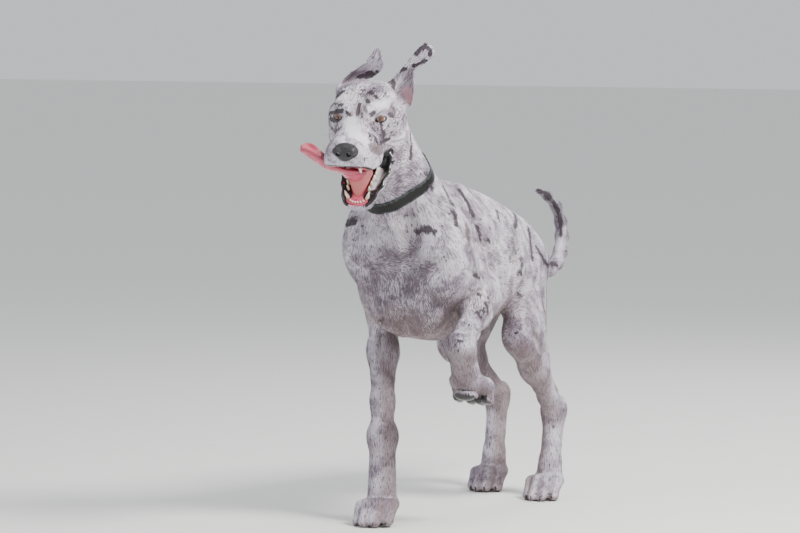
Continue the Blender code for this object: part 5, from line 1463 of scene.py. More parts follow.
@dataclass(frozen=True)
class TongueFinish(Finish):
    """Wet tongue with fine bumps and darker edges."""

    def dress(self, w: Weaver, shader: bpy.types.Node) -> None:
        """Feed the shader."""
        place = w.place()
        under = w.attribute("under")
        cells = w.put("ShaderNodeTexVoronoi", {"Vector": place, "Scale": 900.0}).outputs[0]
        cloud = w.noise(place, 60.0, 3.0)
        colour = w.mix(w.step(cloud, 0.3, 0.7), tone(214, 96, 122), tone(178, 58, 84))
        colour = w.mix(w.times(under, 0.8), colour, tone(196, 104, 100))
        colour = w.mix(w.times(w.attribute("rim"), 0.7), colour, tone(150, 40, 62))
        rough = w.plus(0.24, w.times(cells, 0.25))
        bumps = w.bump(cells, 0.4, 0.0004, w.bump(cloud, 0.3, 0.002))
        self.feed(w, shader, Base_Color=colour, Roughness=rough, Normal=bumps, Coat_Weight=0.7,
                  Coat_Roughness=0.12, Subsurface_Weight=0.12, Subsurface_Scale=0.004)


@dataclass(frozen=True)
class ToothFinish(Finish):
    """Enamel, yellower at the root."""

    def dress(self, w: Weaver, shader: bpy.types.Node) -> None:
        """Feed the shader."""
        place = w.place()
        root = w.attribute("root")
        streaky = w.noise(place, 380.0, 3.0)
        yellow = w.step(w.plus(root, w.times(streaky, 0.4)), 0.3, 1.1)
        colour = w.mix(yellow, tone(246, 243, 236), tone(206, 184, 140))
        self.feed(w, shader, Base_Color=colour, Roughness=w.plus(0.16, w.times(streaky, 0.18)),
                  Normal=w.bump(streaky, 0.12, 0.0003), Coat_Weight=0.5, Coat_Roughness=0.08)


@dataclass(frozen=True)
class HornFinish(Finish):
    """Dark claws with pale streaks along them."""

    def dress(self, w: Weaver, shader: bpy.types.Node) -> None:
        """Feed the shader."""
        place = w.place()
        along = w.vectors("ADD", w.stretch(w.direction("ray"), 0.02), w.stretch(place, 0.3))
        grain = w.noise(along, 700.0, 3.0)
        colour = w.mix(w.step(grain, 0.4, 0.75), tone(46, 40, 40), tone(126, 112, 104))
        self.feed(w, shader, Base_Color=colour, Roughness=w.plus(0.32, w.times(grain, 0.2)),
                  Normal=w.bump(grain, 0.25, 0.0004))


@dataclass(frozen=True)
class LeatherFinish(Finish):
    """Glossy black collar leather with painted highlights along its rolled edges."""

    def dress(self, w: Weaver, shader: bpy.types.Node) -> None:
        """Feed the shader."""
        place = w.place()
        cells = w.put("ShaderNodeTexVoronoi", {"Vector": place, "Scale": 750.0}, feature="DISTANCE_TO_EDGE")
        grain = w.step(cells.outputs[0], 0.0, 0.18)
        # Painted highlight: pale patches along the rolled edges, broken up by noise.
        edge_highlight = w.times(w.attribute("edge"), w.step(w.noise(place, 120.0, 4.0), 0.35, 0.7))
        colour = w.mix(w.noise(place, 45.0), tone(8, 9, 8), tone(20, 22, 21))
        colour = w.mix(w.times(edge_highlight, 0.55), colour, tone(104, 112, 112))
        rough = w.plus(0.20, w.times(w.noise(place, 90.0, 3.0), 0.28))
        self.feed(w, shader, Base_Color=colour, Roughness=rough, Normal=w.bump(grain, 0.25, 0.0003),
                  Coat_Weight=0.1, Coat_Roughness=0.12, Specular_IOR_Level=0.2)


@dataclass(frozen=True)
class ThreadFinish(Finish):
    """Waxed black thread with a visible twist."""

    def dress(self, w: Weaver, shader: bpy.types.Node) -> None:
        """Feed the shader."""
        twist = w.noise(w.place(), 1500.0, 2.0)
        colour = w.mix(w.step(twist, 0.3, 0.7), tone(40, 42, 42), tone(92, 96, 96))
        self.feed(w, shader, Base_Color=colour, Roughness=w.plus(0.4, w.times(twist, 0.2)),
                  Normal=w.bump(twist, 0.3, 0.0002))


@dataclass(frozen=True)
class SteelFinish(Finish):
    """Dulled steel with fine scratches."""

    def dress(self, w: Weaver, shader: bpy.types.Node) -> None:
        """Feed the shader."""
        place = w.place()
        scratch = w.noise(place, 900.0, 3.0)
        dull = w.noise(place, 110.0, 3.0)
        colour = w.mix(w.step(dull, 0.35, 0.7), tone(176, 178, 182), tone(112, 114, 120))
        self.feed(w, shader, Base_Color=colour, Metallic=0.95, Normal=w.bump(scratch, 0.15, 0.0002),
                  Roughness=w.plus(0.22, w.times(dull, 0.25)))


@dataclass(frozen=True)
class FloorFinish(Finish):
    """Plain pale floor."""

    def dress(self, w: Weaver, shader: bpy.types.Node) -> None:
        """Feed the shader."""
        grain = w.noise(w.place(), 30.0, 3.0)
        self.feed(w, shader, Base_Color=w.mix(grain, tone(232, 232, 229), tone(237, 237, 235)),
                  Roughness=0.85)


@dataclass(frozen=True)
class Whisker(Finish):
    """Stiff pale to dark hairs."""

    def dress(self, w: Weaver, shader: bpy.types.Node) -> None:
        """Feed the shader."""
        grain = w.noise(w.place(), 400.0, 2.0)
        self.feed(w, shader, Base_Color=w.mix(w.step(grain, 0.4, 0.6), tone(70, 62, 66), tone(214, 208, 210)),
                  Roughness=w.plus(0.35, w.times(grain, 0.2)))


@dataclass
class Workbench:
    """Makes finished mesh objects at the solids' place."""

    shift: Array

    def piece(self, name: str, points: Array, faces: Sequence, finish: Finish,
              replaces: Sequence[str] = (), **layers: Array) -> Piece:
        """A mesh object that rides on the root body.

        Args:
            name: the piece's name.
            points: rows of x, y, z in working coordinates.
            faces: rows of point numbers, outward.
            finish: its material.
            replaces: nodes that it stands for.
            layers: numbers or vectors a point, stored by name.

        Returns:
            The object.
        """
        mesh = bpy.data.meshes.new(name)
        rows = faces.tolist() if isinstance(faces, np.ndarray) else list(faces)
        mesh.from_pydata((np.asarray(points) + self.shift).tolist(), [], rows)
        mesh.validate()
        mesh.update()
        for label, values in layers.items():
            self.layer(mesh, label, values)
        mesh.polygons.foreach_set("use_smooth", [True] * len(mesh.polygons))
        made = bpy.data.objects.new(name, mesh)
        bpy.context.scene.collection.objects.link(made)
        return self.hand_over(made, finish, replaces)

    @staticmethod
    def layer(mesh: bpy.types.Mesh, label: str, values: Array) -> None:
        """Store a number or a vector a point."""
        wide = np.ndim(values) == 2
        made = mesh.attributes.new(label, "FLOAT_VECTOR" if wide else "FLOAT", "POINT")
        made.data.foreach_set("vector" if wide else "value", np.ascontiguousarray(values, np.float32).ravel())

    @staticmethod
    def hand_over(made: Piece, finish: Finish, replaces: Sequence[str] = ()) -> Piece:
        """Give a piece its finish, body and the nodes it stands for."""
        made.data.materials.clear()
        made.data.materials.append(finish.material())
        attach(made, "root")
        if replaces:
            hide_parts(*replaces)
        LOG.info("%s: %d faces", made.name, len(made.data.polygons))
        return made


@dataclass
class Skin:
    """The head's and the body's skins, painted with the coat's marks."""

    hound: Hound
    markings: Markings
    view: Viewpoint
    bench: Workbench
    body_step: float = 0.0043
    head_step: float = 0.00205
    overlap: float = 0.006
    # Painted shade: where the coat is painted darker to stand for shade; middle, radii and strength, the same
    # on both sides.
    painted_shade: tuple = (
        ((0, 0.0, 0.50), (0.13, 0.10, 0.14), 0.85), ((0.02, -0.10, 0.74), (0.06, 0.06, 0.10), 0.45),
        ((0.0, 0.30, 0.42), (0.12, 0.30, 0.06), 0.9), ((0.08, 0.10, 0.50), (0.05, 0.06, 0.10), 0.5),
        ((0.06, 0.60, 0.42), (0.06, 0.05, 0.12), 0.3), ((0.0, 0.10, 0.60), (0.14, 0.10, 0.12), 0.35))
    # Middles of the chest's whorls in the photograph's frame, their turns in radians and their reach.
    whorl_pixels: tuple = ((412, 258), (426, 266), (384, 262))
    whorl_turns: tuple = (2.6, -2.2, 1.8)
    whorl_reach: float = 0.030
    # The body's middle in the photograph's frame, and the reaches in which hollows are felt.
    body_pixel: Point = (460, 266)
    # Reaches over which the painted shade in folds is measured.
    fold_shade_reaches: tuple = (0.012, 0.035)
    finish: CoatFinish = CoatFinish("merle coat", Slot.COAT)

    def guides(self) -> list[tuple[Array, Array]]:
        """Lines that the hair follows, from where it starts."""
        head, rows = self.hound.head, []

        def add(*path: Point) -> None:
            """Join the path's points."""
            spots = [vec(*p) for p in path]
            rows.extend(zip(spots, spots[1:]))

        def add_head(*path: Point) -> None:
            """The same in the head's frame."""
            add(*[head.outward(vec(*p)) for p in path])

        add_head((0, -0.15, -0.01), (0, -0.05, 0.004), (0, 0.02, 0.035), (0, 0.11, 0.045))
        for s in (-1, 1):
            add_head((s * 0.03, -0.14, -0.04), (s * 0.045, -0.06, -0.05), (s * 0.062, 0.03, -0.04),
                     (s * 0.064, 0.10, -0.03))
            add_head((s * 0.03, -0.02, 0.02), (s * 0.05, 0.05, 0.03), (s * 0.055, 0.11, 0.0))
            add_head(head.from_jaw((s * 0.02, -0.12, -0.11)), head.from_jaw((s * 0.04, -0.02, -0.115)),
                     (s * 0.05, 0.07, -0.11))
            add((s * 0.045 - 0.02, -0.11, 0.86), (s * 0.055 - 0.01, -0.02, 0.76), (s * 0.075, 0.05, 0.66))
            add((s * 0.05, 0.12, 0.70), (s * 0.10, 0.06, 0.60), (s * 0.10, 0.04, 0.52))
            add((s * 0.10, 0.16, 0.62), (s * 0.122, 0.28, 0.56), (s * 0.10, 0.42, 0.55),
                (s * 0.07, 0.52, 0.57))
            add((s * 0.06, 0.16, 0.43), (s * 0.06, 0.34, 0.42), (s * 0.05, 0.48, 0.47))
            add((s * 0.04, -0.03, 0.60), (s * 0.055, -0.02, 0.50), (s * 0.06, 0.03, 0.43))
        add((-0.022, -0.05, 0.90), (0, 0.08, 0.76), (0, 0.22, 0.735), (0, 0.42, 0.69), (0, 0.60, 0.63),
            (0, 0.69, 0.59))
        add((-0.022, -0.15, 0.80), (-0.01, -0.09, 0.68), (0, -0.03, 0.58), (0, 0.0, 0.46))
        for rows_of in (self.hound.ears.left, self.hound.ears.right):
            add_head(*[row[1] for row in rows_of])
        for leg in self.hound.forelegs:
            add(leg.shoulder, leg.elbow)
            add(leg.elbow, leg.wrist, leg.knuckle, leg.toe)
        for leg in self.hound.hindlegs:
            add(leg.hip, leg.knee, leg.hock, leg.knuckle, leg.toe)
            add(leg.seat, between(leg.knee, leg.hock, 0.3))
        add(*[spot for spot, _ in self.hound.tail.path])
        return rows

    def lie(self, points: Array, normals: Array) -> Array:
        """Direction of the hair at each point, along the skin."""
        total = np.zeros_like(points)
        for a, b in self.guides():
            away = path_distance(points, np.array([a, b]))
            total += unit(b - a) / ((away**2 + 0.0004) ** 1.5)[:, None]
        total /= length_of(total)[:, None] + 1e-12
        total = self.whorls(points, normals, total)
        total -= normals * (total * normals).sum(1)[:, None]
        return total / (length_of(total)[:, None] + 1e-9)

    def whorls(self, points: Array, normals: Array, lie: Array) -> Array:
        """Turn the hair round in the whorls of the chest."""
        spots, struck = self.view.strike(self.hound.distance, self.whorl_pixels)
        for spot, turn in zip(spots[struck], self.whorl_turns):
            angle = turn * np.exp(-((points - spot) ** 2).sum(1) / self.whorl_reach**2)
            side = np.cross(normals, lie)
            lie = lie * np.cos(angle)[:, None] + side * np.sin(angle)[:, None]
        return lie

    def layers(self, points: Array, normals: Array) -> dict[str, Array]:
        """Everything that the coat's finish and the hair read, a value a point."""
        hound, head = self.hound, self.hound.head
        lie = self.lie(points, normals)
        LOG.info("hair laid")
        marks = {tint.value: self.markings.strength(tint, points) for tint in Tint}
        sight = -self.view.rays([self.body_pixel])[0]
        away = soft_step(normals @ sight, 0.15, -0.15)
        marks["dark"] = np.maximum(marks["dark"], self.markings.unseen(points, lie, away))
        # Painted shade in folds: how closed in each point is, from the distance a little way out along its
        # normal.
        near, far = (np.clip(1 - hound.distance(points + normals * h) / h, 0, 1) for h in self.fold_shade_reaches)
        hollow = near * 0.5 + far * 0.5
        in_head = head.inward(points)
        mouth, inside = head.hollow(in_head), head.solid(in_head)
        near_mouth = soft_step(mouth, 0.0062, 0.0045)
        wet = near_mouth * soft_step(inside, -0.0025, -0.0050)
        rim = soft_step(mouth, 0.0050, 0.0032) * soft_step(inside, -0.0085, -0.0055)
        chin = soft_step(np.abs(in_head[:, 0] - head.jaw_shift), 0.030, 0.018)
        chin = chin * soft_step(in_head[:, 1], -0.075, -0.095)
        rim = rim * (1 - 0.75 * chin * soft_step(in_head[:, 2], -0.11, -0.12))
        lids = np.min([form.distance(in_head) for form in head.slits()], axis=0)
        black = np.maximum(rim, soft_step(lids, 0.0032, 0.0016))
        pads = np.min([ball.distance(points) for paw in hound.paws() for ball in paw.pads()], axis=0)
        soles = np.zeros(len(points))
        for paw in hound.paws():
            _, _, top = paw.frame()
            close = soft_step(length_of(points - paw.knuckle), 0.11, 0.09)
            soles = np.maximum(soles, close * soft_step(normals @ top, -0.25, -0.55))
        black = np.maximum(black, soles * soft_step(pads, 0.004, 0.0015))
        # Painted shade on downward-facing undersides and inner legs, with their warm tint; hollows add to it.
        low = soft_step(points[:, 2], 0.56, 0.40) * soft_step(normals[:, 2], 0.25, -0.55)
        inner = soft_step(points[:, 2], 0.50, 0.30)
        inner = inner * soft_step(normals[:, 0] * np.sign(points[:, 0]), 0.1, -0.6)
        warm_tint_and_shade = np.clip(np.maximum(low, inner) * 0.8 + hollow * 0.35, 0, 1)
        # Painted shade in set zones, the same on both sides.
        painted_shade = np.zeros(len(points))
        for centre, radius, strength in self.painted_shade:
            for s in (-1, 1):
                away_by = length_of((points - vec(*centre) * vec(s, 1, 1)) / vec(*radius))
                painted_shade = np.maximum(painted_shade, strength * soft_step(away_by, 1.25, 0.45))
        ear = np.min([form.distance(in_head) for form in hound.ear_forms], axis=0)
        # Less painted shade on the ears.
        hollow *= 1 - 0.85 * soft_step(ear, 0.004, 0.002)
        hair = 1.0 - 0.55 * soft_step(hound.past_collar(points), 0.02, 0.10)
        hair *= 1.0 - 0.5 * soft_step(points[:, 2], 0.25, 0.06)
        hair *= (1 - np.maximum(wet, black))
        return {"lie": lie, "hollow": hollow, "wet": wet, "black": black, "warm_tint_and_shade": warm_tint_and_shade, "hair": hair,
                "painted_shade": painted_shade, **marks}

    def cast(self, name: str, low: Point, high: Point, step: float, side: float,
             nodes: Sequence[str]) -> Piece:
        """One skin on its side of the collar."""
        def distance(points: Array) -> Array:
            """The skin, closed off under the collar."""
            flesh = np.maximum(self.hound.distance(points), -points[:, 2])
            return np.maximum(flesh, self.hound.past_collar(points) * side - self.overlap)

        points, quads = Casting(distance, low, high, step).skin()
        LOG.info("%s cast", name)
        normals = point_normals(points, quads)
        return self.bench.piece(name, points, quads, self.finish, nodes, **self.layers(points, normals))

    def build(self) -> list[Piece]:
        """Both skins."""
        legs = ("foreleg_left", "foreleg_right", "hindleg_left", "hindleg_right")
        tails = ("tail_root", "tail_middle", "tail_tip")
        head = self.cast("skin_head", (-0.16, -0.385, 0.63), (0.16, 0.08, 1.08), self.head_step, -1.0,
                         ("head", "jaw", "ear_left", "ear_right"))
        body = self.cast("skin_body", (-0.20, -0.16, -0.012), (0.20, 0.90, 0.90), self.body_step, 1.0,
                         ("torso", "neck") + legs + tails)
        return [head, body]


@dataclass
class Scatter:
    """Geometry Nodes that set small copies on a host mesh, with its layers passed on."""

    name: str
    density: float = 0.0
    grow: tuple = (0.8, 1.2)
    yaw: float = 0.3

    def tree(self, item: Piece, finish: Finish) -> bpy.types.NodeTree:
        """Copies stand on the host's faces, or on its points where density is 0."""
        tree = bpy.data.node_groups.new(self.name, "GeometryNodeTree")
        for label, kind in (("Host", "NodeSocketGeometry"), ("Density", "NodeSocketFloat"),
                            ("Smallest", "NodeSocketFloat"), ("Largest", "NodeSocketFloat"),
                            ("Yaw", "NodeSocketFloat"), ("Seed", "NodeSocketInt")):
            tree.interface.new_socket(label, in_out="INPUT", socket_type=kind)
        tree.interface.new_socket("Copies", in_out="OUTPUT", socket_type="NodeSocketGeometry")
        w = Weaver(tree)
        given = w.put("NodeGroupInput").outputs

        def stored(label: str, kind: str) -> Socket:
            """A layer of the host."""
            return w.put("GeometryNodeInputNamedAttribute", {"Name": label}, data_type=kind).outputs[0]

        if self.density:
            thick = w.times(stored("thick", "FLOAT"), given["Density"])
            spread = w.put("GeometryNodeDistributePointsOnFaces",
                           {"Mesh": given["Host"], "Seed": given["Seed"]})
            w.tree.links.new(thick, spread.inputs["Density"])
            points, up = spread.outputs["Points"], spread.outputs["Normal"]
        else:
            points = w.put("GeometryNodeMeshToPoints", {"Mesh": given["Host"]}).outputs[0]
            up = stored("up", "FLOAT_VECTOR")
        axes = {"Primary Axis": up, "Secondary Axis": stored("lie", "FLOAT_VECTOR")}
        turn = w.put("FunctionNodeAxesToRotation", axes, primary_axis="Z", secondary_axis="Y").outputs[0]

        def chance(low: object, high: object) -> Socket:
            """A number drawn for each copy."""
            return w.put("FunctionNodeRandomValue", {2: low, 3: high, "Seed": given["Seed"]},
                         data_type="FLOAT").outputs[1]

        yaw = chance(w.times(given["Yaw"], -1.0), given["Yaw"])
        spin = w.put("ShaderNodeCombineXYZ", {"Z": yaw}).outputs[0]
        spin = w.put("FunctionNodeEulerToRotation", {0: spin}).outputs[0]
        turn = w.put("FunctionNodeRotateRotation", {0: turn, 1: spin}, rotation_space="LOCAL").outputs[0]
        size = w.times(chance(given["Smallest"], given["Largest"]), stored("hair", "FLOAT"))
        copy = w.put("GeometryNodeObjectInfo", {"Object": item}).outputs["Geometry"]
        placed = w.put("GeometryNodeInstanceOnPoints",
                       {"Points": points, "Instance": copy, "Rotation": turn, "Scale": size})
        real = w.put("GeometryNodeRealizeInstances", {0: placed.outputs[0]}).outputs[0]
        dressed = w.put("GeometryNodeSetMaterial", {"Geometry": real, "Material": finish.material()})
        w.put("NodeGroupOutput", {0: dressed.outputs[0]})
        return tree

    def build(self, host: Piece, item: Piece, finish: Finish, name: str) -> Piece:
        """Run the tree on the host and keep the result as a plain mesh."""
        tree = self.tree(item, finish)
        modifier = host.modifiers.new(self.name, "NODES")
        modifier.node_group = tree
        values = {"Density": float(self.density), "Smallest": self.grow[0], "Largest": self.grow[1],
                  "Yaw": self.yaw, "Seed": SEED}
        for socket in tree.interface.items_tree:
            if socket.item_type == "SOCKET" and socket.in_out == "INPUT" and socket.name in values:
                modifier[socket.identifier] = values[socket.name]
        bpy.context.view_layer.update()
        graph = bpy.context.evaluated_depsgraph_get()
        mesh = bpy.data.meshes.new_from_object(host.evaluated_get(graph), preserve_all_data_layers=True,
                                               depsgraph=graph)
        host.modifiers.remove(modifier)
        mesh.name = name
        made = bpy.data.objects.new(name, mesh)
        bpy.context.scene.collection.objects.link(made)
        mesh.polygons.foreach_set("use_smooth", [True] * len(mesh.polygons))
        return made


def read(rows: object, label: str, wide: int = 1, kind: type = np.float32) -> Array:
    """Numbers that Blender keeps for each row of a mesh's data.

    Args:
        rows: the data, such as a mesh's points.
        label: the value's name.
        wide: how many numbers a row has.
        kind: the numbers' type.

    Returns:
        One number a row, or one row of numbers.
    """
    values = np.empty(len(rows) * wide, kind)
    rows.foreach_get(label, values)
    return values.reshape(-1, wide) if wide > 1 else values


@dataclass
class Hair:
    """Thin tufts of short hair over the skin, each region a piece of its own."""

    skin: Skin
    bench: Workbench
    budget: int = 165000
    long: float = 0.011
    patch: float = 0.003
    grow: tuple = (0.75, 1.15)
    # Most tufts a square metre, and the smallest area in square metres that carries any.
    densest: float = 130000.0
    least_area: float = 1e-5
    # Places where the hair breaks the form and stands thicker: working coordinates, reach.
    thicker: tuple = (((0, -0.02, 0.55), 0.11), ((0, 0.66, 0.52), 0.12), ((0, 0.35, 0.45), 0.14),
                      ((0, 0.10, 0.73), 0.10), ((0, 0.83, 0.52), 0.08))

    def tuft(self) -> Piece:
        """Three flat blades that rise a little to their tips, in a plain hidden mesh."""
        points, faces, blade = [], [], []
        for side, length, lean in ((-0.0011, 0.85, -0.10), (0.0002, 1.0, 0.03), (0.0013, 0.75, 0.12)):
            start = len(points)
            for share, wide, rise in ((0.0, 0.00045, -0.0006), (0.45, 0.00050, 0.0006), (1.0, 0.0, 0.0011)):
                along = share * self.long * length
                middle = side + lean * along
                edges = (-wide, wide) if wide else (0.0,)
                points += [(middle + edge, along, rise) for edge in edges]
            faces += [(start, start + 1, start + 3, start + 2), (start + 2, start + 3, start + 4)]
        for x, y, _ in points:
            blade.append((x / 0.006 + 0.5, y / self.long, 0.0))
        mesh = bpy.data.meshes.new("tuft")
        mesh.from_pydata(points, [], faces)
        Workbench.layer(mesh, "blade", np.array(blade))
        return bpy.data.objects.new("tuft", mesh)

    def atlas(self, points: Array, normals: Array) -> Array:
        """Places on an unwrap of the skin: along and round its nearest guide, packed in shelves."""
        guides = self.skin.guides()
        away = np.stack([path_distance(points, np.array(pair)) for pair in guides])
        owner = away.argmin(0)
        spots = np.zeros((len(points), 2))
        sizes = []
        for n, (a, b) in enumerate(guides):
            rows = owner == n
            axis = unit(b - a)
            first = unit(np.cross(axis, (0.9, 0.1, 0.3)))
            second = np.cross(axis, first)
            off = points[rows] - a
            angle = np.arctan2(normals[rows] @ second, normals[rows] @ first)
            round_by = angle * max(0.012, float(np.median(away[n][rows])) if rows.any() else 0.012)
            flat = np.stack([off @ axis, round_by], axis=1)
            low = flat.min(0) if rows.any() else vec(0, 0)
            spots[rows] = flat - low
            sizes.append((flat - low).max(0) if rows.any() else vec(0, 0))
        return self.shelve(spots, owner, sizes)

    @staticmethod
    def shelve(spots: Array, owner: Array, sizes: list) -> Array:
        """Set the islands side by side on shelves inside the unit square."""
        order = sorted(range(len(sizes)), key=lambda n: -sizes[n][1])
        width = math.sqrt(sum(float(s[0] * s[1]) for s in sizes)) * 1.25
        x = y = tall = 0.0
        corner = {}
        for n in order:
            if x + sizes[n][0] > width:
                x, y, tall = 0.0, y + tall + 0.006, 0.0
            corner[n] = vec(x, y)
            x += float(sizes[n][0]) + 0.006
            tall = max(tall, float(sizes[n][1]))
        full = max(width + 0.006, y + tall)
        base = np.array([corner[n] for n in range(len(sizes))])
        return 0.004 + 0.99 * (spots + base[owner]) / full

    def regions(self, points: Array) -> dict[str, Array]:
        """Which points belong to each coat piece."""
        hound = self.skin.hound
        head = hound.past_collar(points) > 0
        legs = (points[:, 2] < 0.40) & ~head
        fore = points[:, 1] < 0.30
        tail = (points[:, 1] > 0.725) & (points[:, 2] > 0.45)
        rest = ~head & ~legs & ~tail
        left = points[:, 0] > 0
        return {"coat_head": head, "coat_forelegs": legs & fore, "coat_hindlegs": legs & ~fore & ~tail,
                "coat_tail": tail, "coat_left": rest & left, "coat_right": rest & ~left}

    def build(self, skins: Sequence[Piece]) -> None:
        """Grow every region's coat from the skins."""
        tuft = self.tuft()
        per = len(tuft.data.polygons) // 2 * 3
        for skin in skins:
            mesh = skin.data
            points = read(mesh.vertices, "co", 3).astype(float) - self.bench.shift
            normals = read(mesh.vertices, "normal", 3).astype(float)
            unwrap = self.atlas(points, normals)
            Workbench.layer(mesh, "atlas", np.column_stack([unwrap, np.zeros(len(points))]))
            hair = read(mesh.attributes["hair"].data, "value")
            standing = np.ones(len(points))
            for spot, reach in self.thicker:
                away = length_of(points - vec(*spot))
                standing += soft_step(away, reach * 1.3, reach * 0.6)
            for name, inside in self.regions(points).items():
                if (name == "coat_head") != (skin.name == "skin_head"):
                    continue
                thick = np.where(inside & (hair > 0.2), standing * soft_step(hair, 0.15, 0.4), 0.0)
                areas = self.area(mesh, thick)
                if areas <= self.least_area:
                    continue
                density = min(self.budget / per / areas, self.densest)
                if "thick" in mesh.attributes:
                    mesh.attributes.remove(mesh.attributes["thick"])
                Workbench.layer(mesh, "thick", thick)
                made = Scatter(name, density, self.grow).build(skin, tuft, self.skin.finish, name)
                self.unwrap(made.data)
                Workbench.hand_over(made, self.skin.finish)
            mesh.attributes.remove(mesh.attributes["thick"])
            mesh.attributes.remove(mesh.attributes["atlas"])

    @staticmethod
    def area(mesh: bpy.types.Mesh, weight: Array) -> float:
        """Area of the faces, each counted by the weight of its points."""
        sizes = read(mesh.polygons, "area")
        loops = read(mesh.loops, "vertex_index", kind=np.int32)
        return float((sizes * weight[loops].reshape(len(sizes), -1).mean(1)).sum())

    def unwrap(self, mesh: bpy.types.Mesh) -> None:
        """Give each tuft its small patch of the unwrap, at its root's place."""
        atlas, blade = (read(mesh.attributes[label].data, "vector", 3) for label in ("atlas", "blade"))
        place = atlas[:, :2] + blade[:, :2] * self.patch
        loops = read(mesh.loops, "vertex_index", kind=np.int32)
        for layer in list(mesh.uv_layers):
            mesh.uv_layers.remove(layer)
        layer = mesh.uv_layers.new(name="OFBake")
        layer.data.foreach_set("uv", np.clip(place[loops], 0.0005, 0.9995).ravel())
        for label in ("atlas", "blade", "thick"):
            if label in mesh.attributes:
                mesh.attributes.remove(mesh.attributes[label])


def lathe(path: Array, radii: Sequence[float], sides: int, flat: float = 1.0,
          across: Optional[Array] = None) -> tuple[Array, list]:
    """A closed round body along a path.

    Args:
        path: points along its middle; radii: the radius at each.
        sides: faces round it.
        flat: its thickness across the direction named, as a share of the radius.
        across: the thin direction.

    Returns:
        Points and outward faces.
    """
    points, faces = [], []
    ahead = unit(path[-1] - path[0])
    first = unit(across if across is not None else np.cross(ahead, (0.3, 0.5, 0.8)))
    for i, (spot, radius) in enumerate(zip(path, radii)):
        way = unit(path[min(i + 1, len(path) - 1)] - path[max(i - 1, 0)])
        a = unit(first - way * (first @ way))
        b = np.cross(way, a)
        for j in range(sides):
            angle = 2 * math.pi * j / sides
            points.append(spot + a * math.cos(angle) * radius * flat + b * math.sin(angle) * radius)
    for i in range(len(path) - 1):
        for j in range(sides):
            k = (j + 1) % sides
            faces.append((i * sides + j, i * sides + k, (i + 1) * sides + k, (i + 1) * sides + j))
    faces.append(tuple(reversed(range(sides))))
    faces.append(tuple(range((len(path) - 1) * sides, len(path) * sides)))
    return np.array(points), faces


def gather(parts: Sequence[tuple[Array, list]]) -> tuple[Array, list]:
    """Several bodies' points and faces as one."""
    points, faces, start = [], [], 0
    for spots, rows in parts:
        points.append(spots)
        faces += [tuple(int(i) + start for i in row) for row in rows]
        start += len(spots)
    return np.concatenate(points), faces


@dataclass
class Eyes:
    """Both eyeballs."""

    head: Head
    bench: Workbench
    rings: int = 28
    sides: int = 40
    # How far the ball sits within the lids' ball, and how far its cornea stands out.
    inset: float = 0.0012
    cornea: float = 0.0011
    finish: EyeFinish = EyeFinish("amber eye", Slot.EYE)

    def gaze(self, side: float) -> Array:
        """Where the eye looks, in the head's frame."""
        return unit((side * 0.42, -1.0, -0.06))

    def build(self) -> Piece:
        """Both balls, each with its cornea standing out."""
        parts, round_, rays = [], [], []
        for side in (-1, 1):
            centre = vec(side * self.head.eye[0], self.head.eye[1], self.head.eye[2])
            ahead = self.gaze(side)
            a = unit(np.cross(ahead, (0, 0, 1)))
            b = np.cross(a, ahead)
            points, faces = [], []
            for i in range(self.rings + 1):
                polar = math.pi * i / self.rings
                bulge = self.cornea * float(soft_step(np.array([polar]), 0.62, 0.35)[0])
                for j in range(self.sides):
                    angle = 2 * math.pi * j / self.sides
                    spoke = a * math.cos(angle) + b * math.sin(angle)
                    way = ahead * math.cos(polar) + spoke * math.sin(polar)
                    points.append(centre + way * (self.head.eye_r - self.inset + bulge))
                    round_.append(polar)
                    rays.append(spoke)
            for i in range(self.rings):
                for j in range(self.sides):
                    k = (j + 1) % self.sides
                    near, far = i * self.sides, (i + 1) * self.sides
                    faces.append((near + k, near + j, far + j, far + k))
            parts.append((self.head.outward(points), faces))
        points, faces = gather(parts)
        made = self.bench.piece("eyes", points, faces, self.finish, ("eye_left", "eye_right"),
                                round=np.array(round_), ray=np.array(rays))
        close_seams(made.data)
        return made


def close_seams(mesh: bpy.types.Mesh) -> None:
    """Merge doubled points and turn the faces outward."""
    shape = bmesh.new()
    shape.from_mesh(mesh)
    bmesh.ops.remove_doubles(shape, verts=shape.verts, dist=1e-6)
    bmesh.ops.dissolve_degenerate(shape, edges=shape.edges, dist=1e-7)
    bmesh.ops.recalc_face_normals(shape, faces=shape.faces)
    shape.to_mesh(mesh)
    shape.free()
    mesh.update()


@dataclass
class NoseLeather:
    """The nose leather with its comma-shaped nostrils."""

    head: Head
    bench: Workbench
    step: float = 0.0009
    low: Point = (-0.034, -0.182, -0.058)
    high: Point = (0.036, -0.130, -0.002)
    finish: NoseFinish = NoseFinish("nose leather", Slot.NOSE)

    def forms(self) -> list[Form]:
        """Leather, nostrils with their side slits, and the groove down the middle."""
        shapes: list[Form] = [
            Ball((0.002, -0.153, -0.027), (0.0275, 0.0165, 0.0190), 0.006),
            Ball((0, -0.157, -0.034), (0.0135, 0.0135, 0.0135), 0.006),
        ]
        for s in (-1, 1):
            shapes += [
                Ball((s * 0.0150, -0.163, -0.0245), (0.0105, 0.0085, 0.0095), 0.005),
                Limb((s * 0.0118, -0.174, -0.0285), (s * 0.0122, -0.160, -0.0280), 0.0050, 0.0040,
                     0.002, cut=True),
                Limb((s * 0.0150, -0.171, -0.0325), (s * 0.0245, -0.160, -0.0335), 0.0022, 0.0014,
                     0.002, cut=True),
            ]
        shapes.append(Limb((0, -0.1745, -0.024), (0, -0.172, -0.048), 0.0012, 0.0016, 0.0025, cut=True))
        return shapes

    def build(self) -> Piece:
        """Cast it in the head's frame."""
        forms = self.forms()
        points, quads = Casting(lambda p: measure(forms, p), self.low, self.high, self.step).skin()
        return self.bench.piece("nose_leather", self.head.outward(points), quads, self.finish, ("nose",))


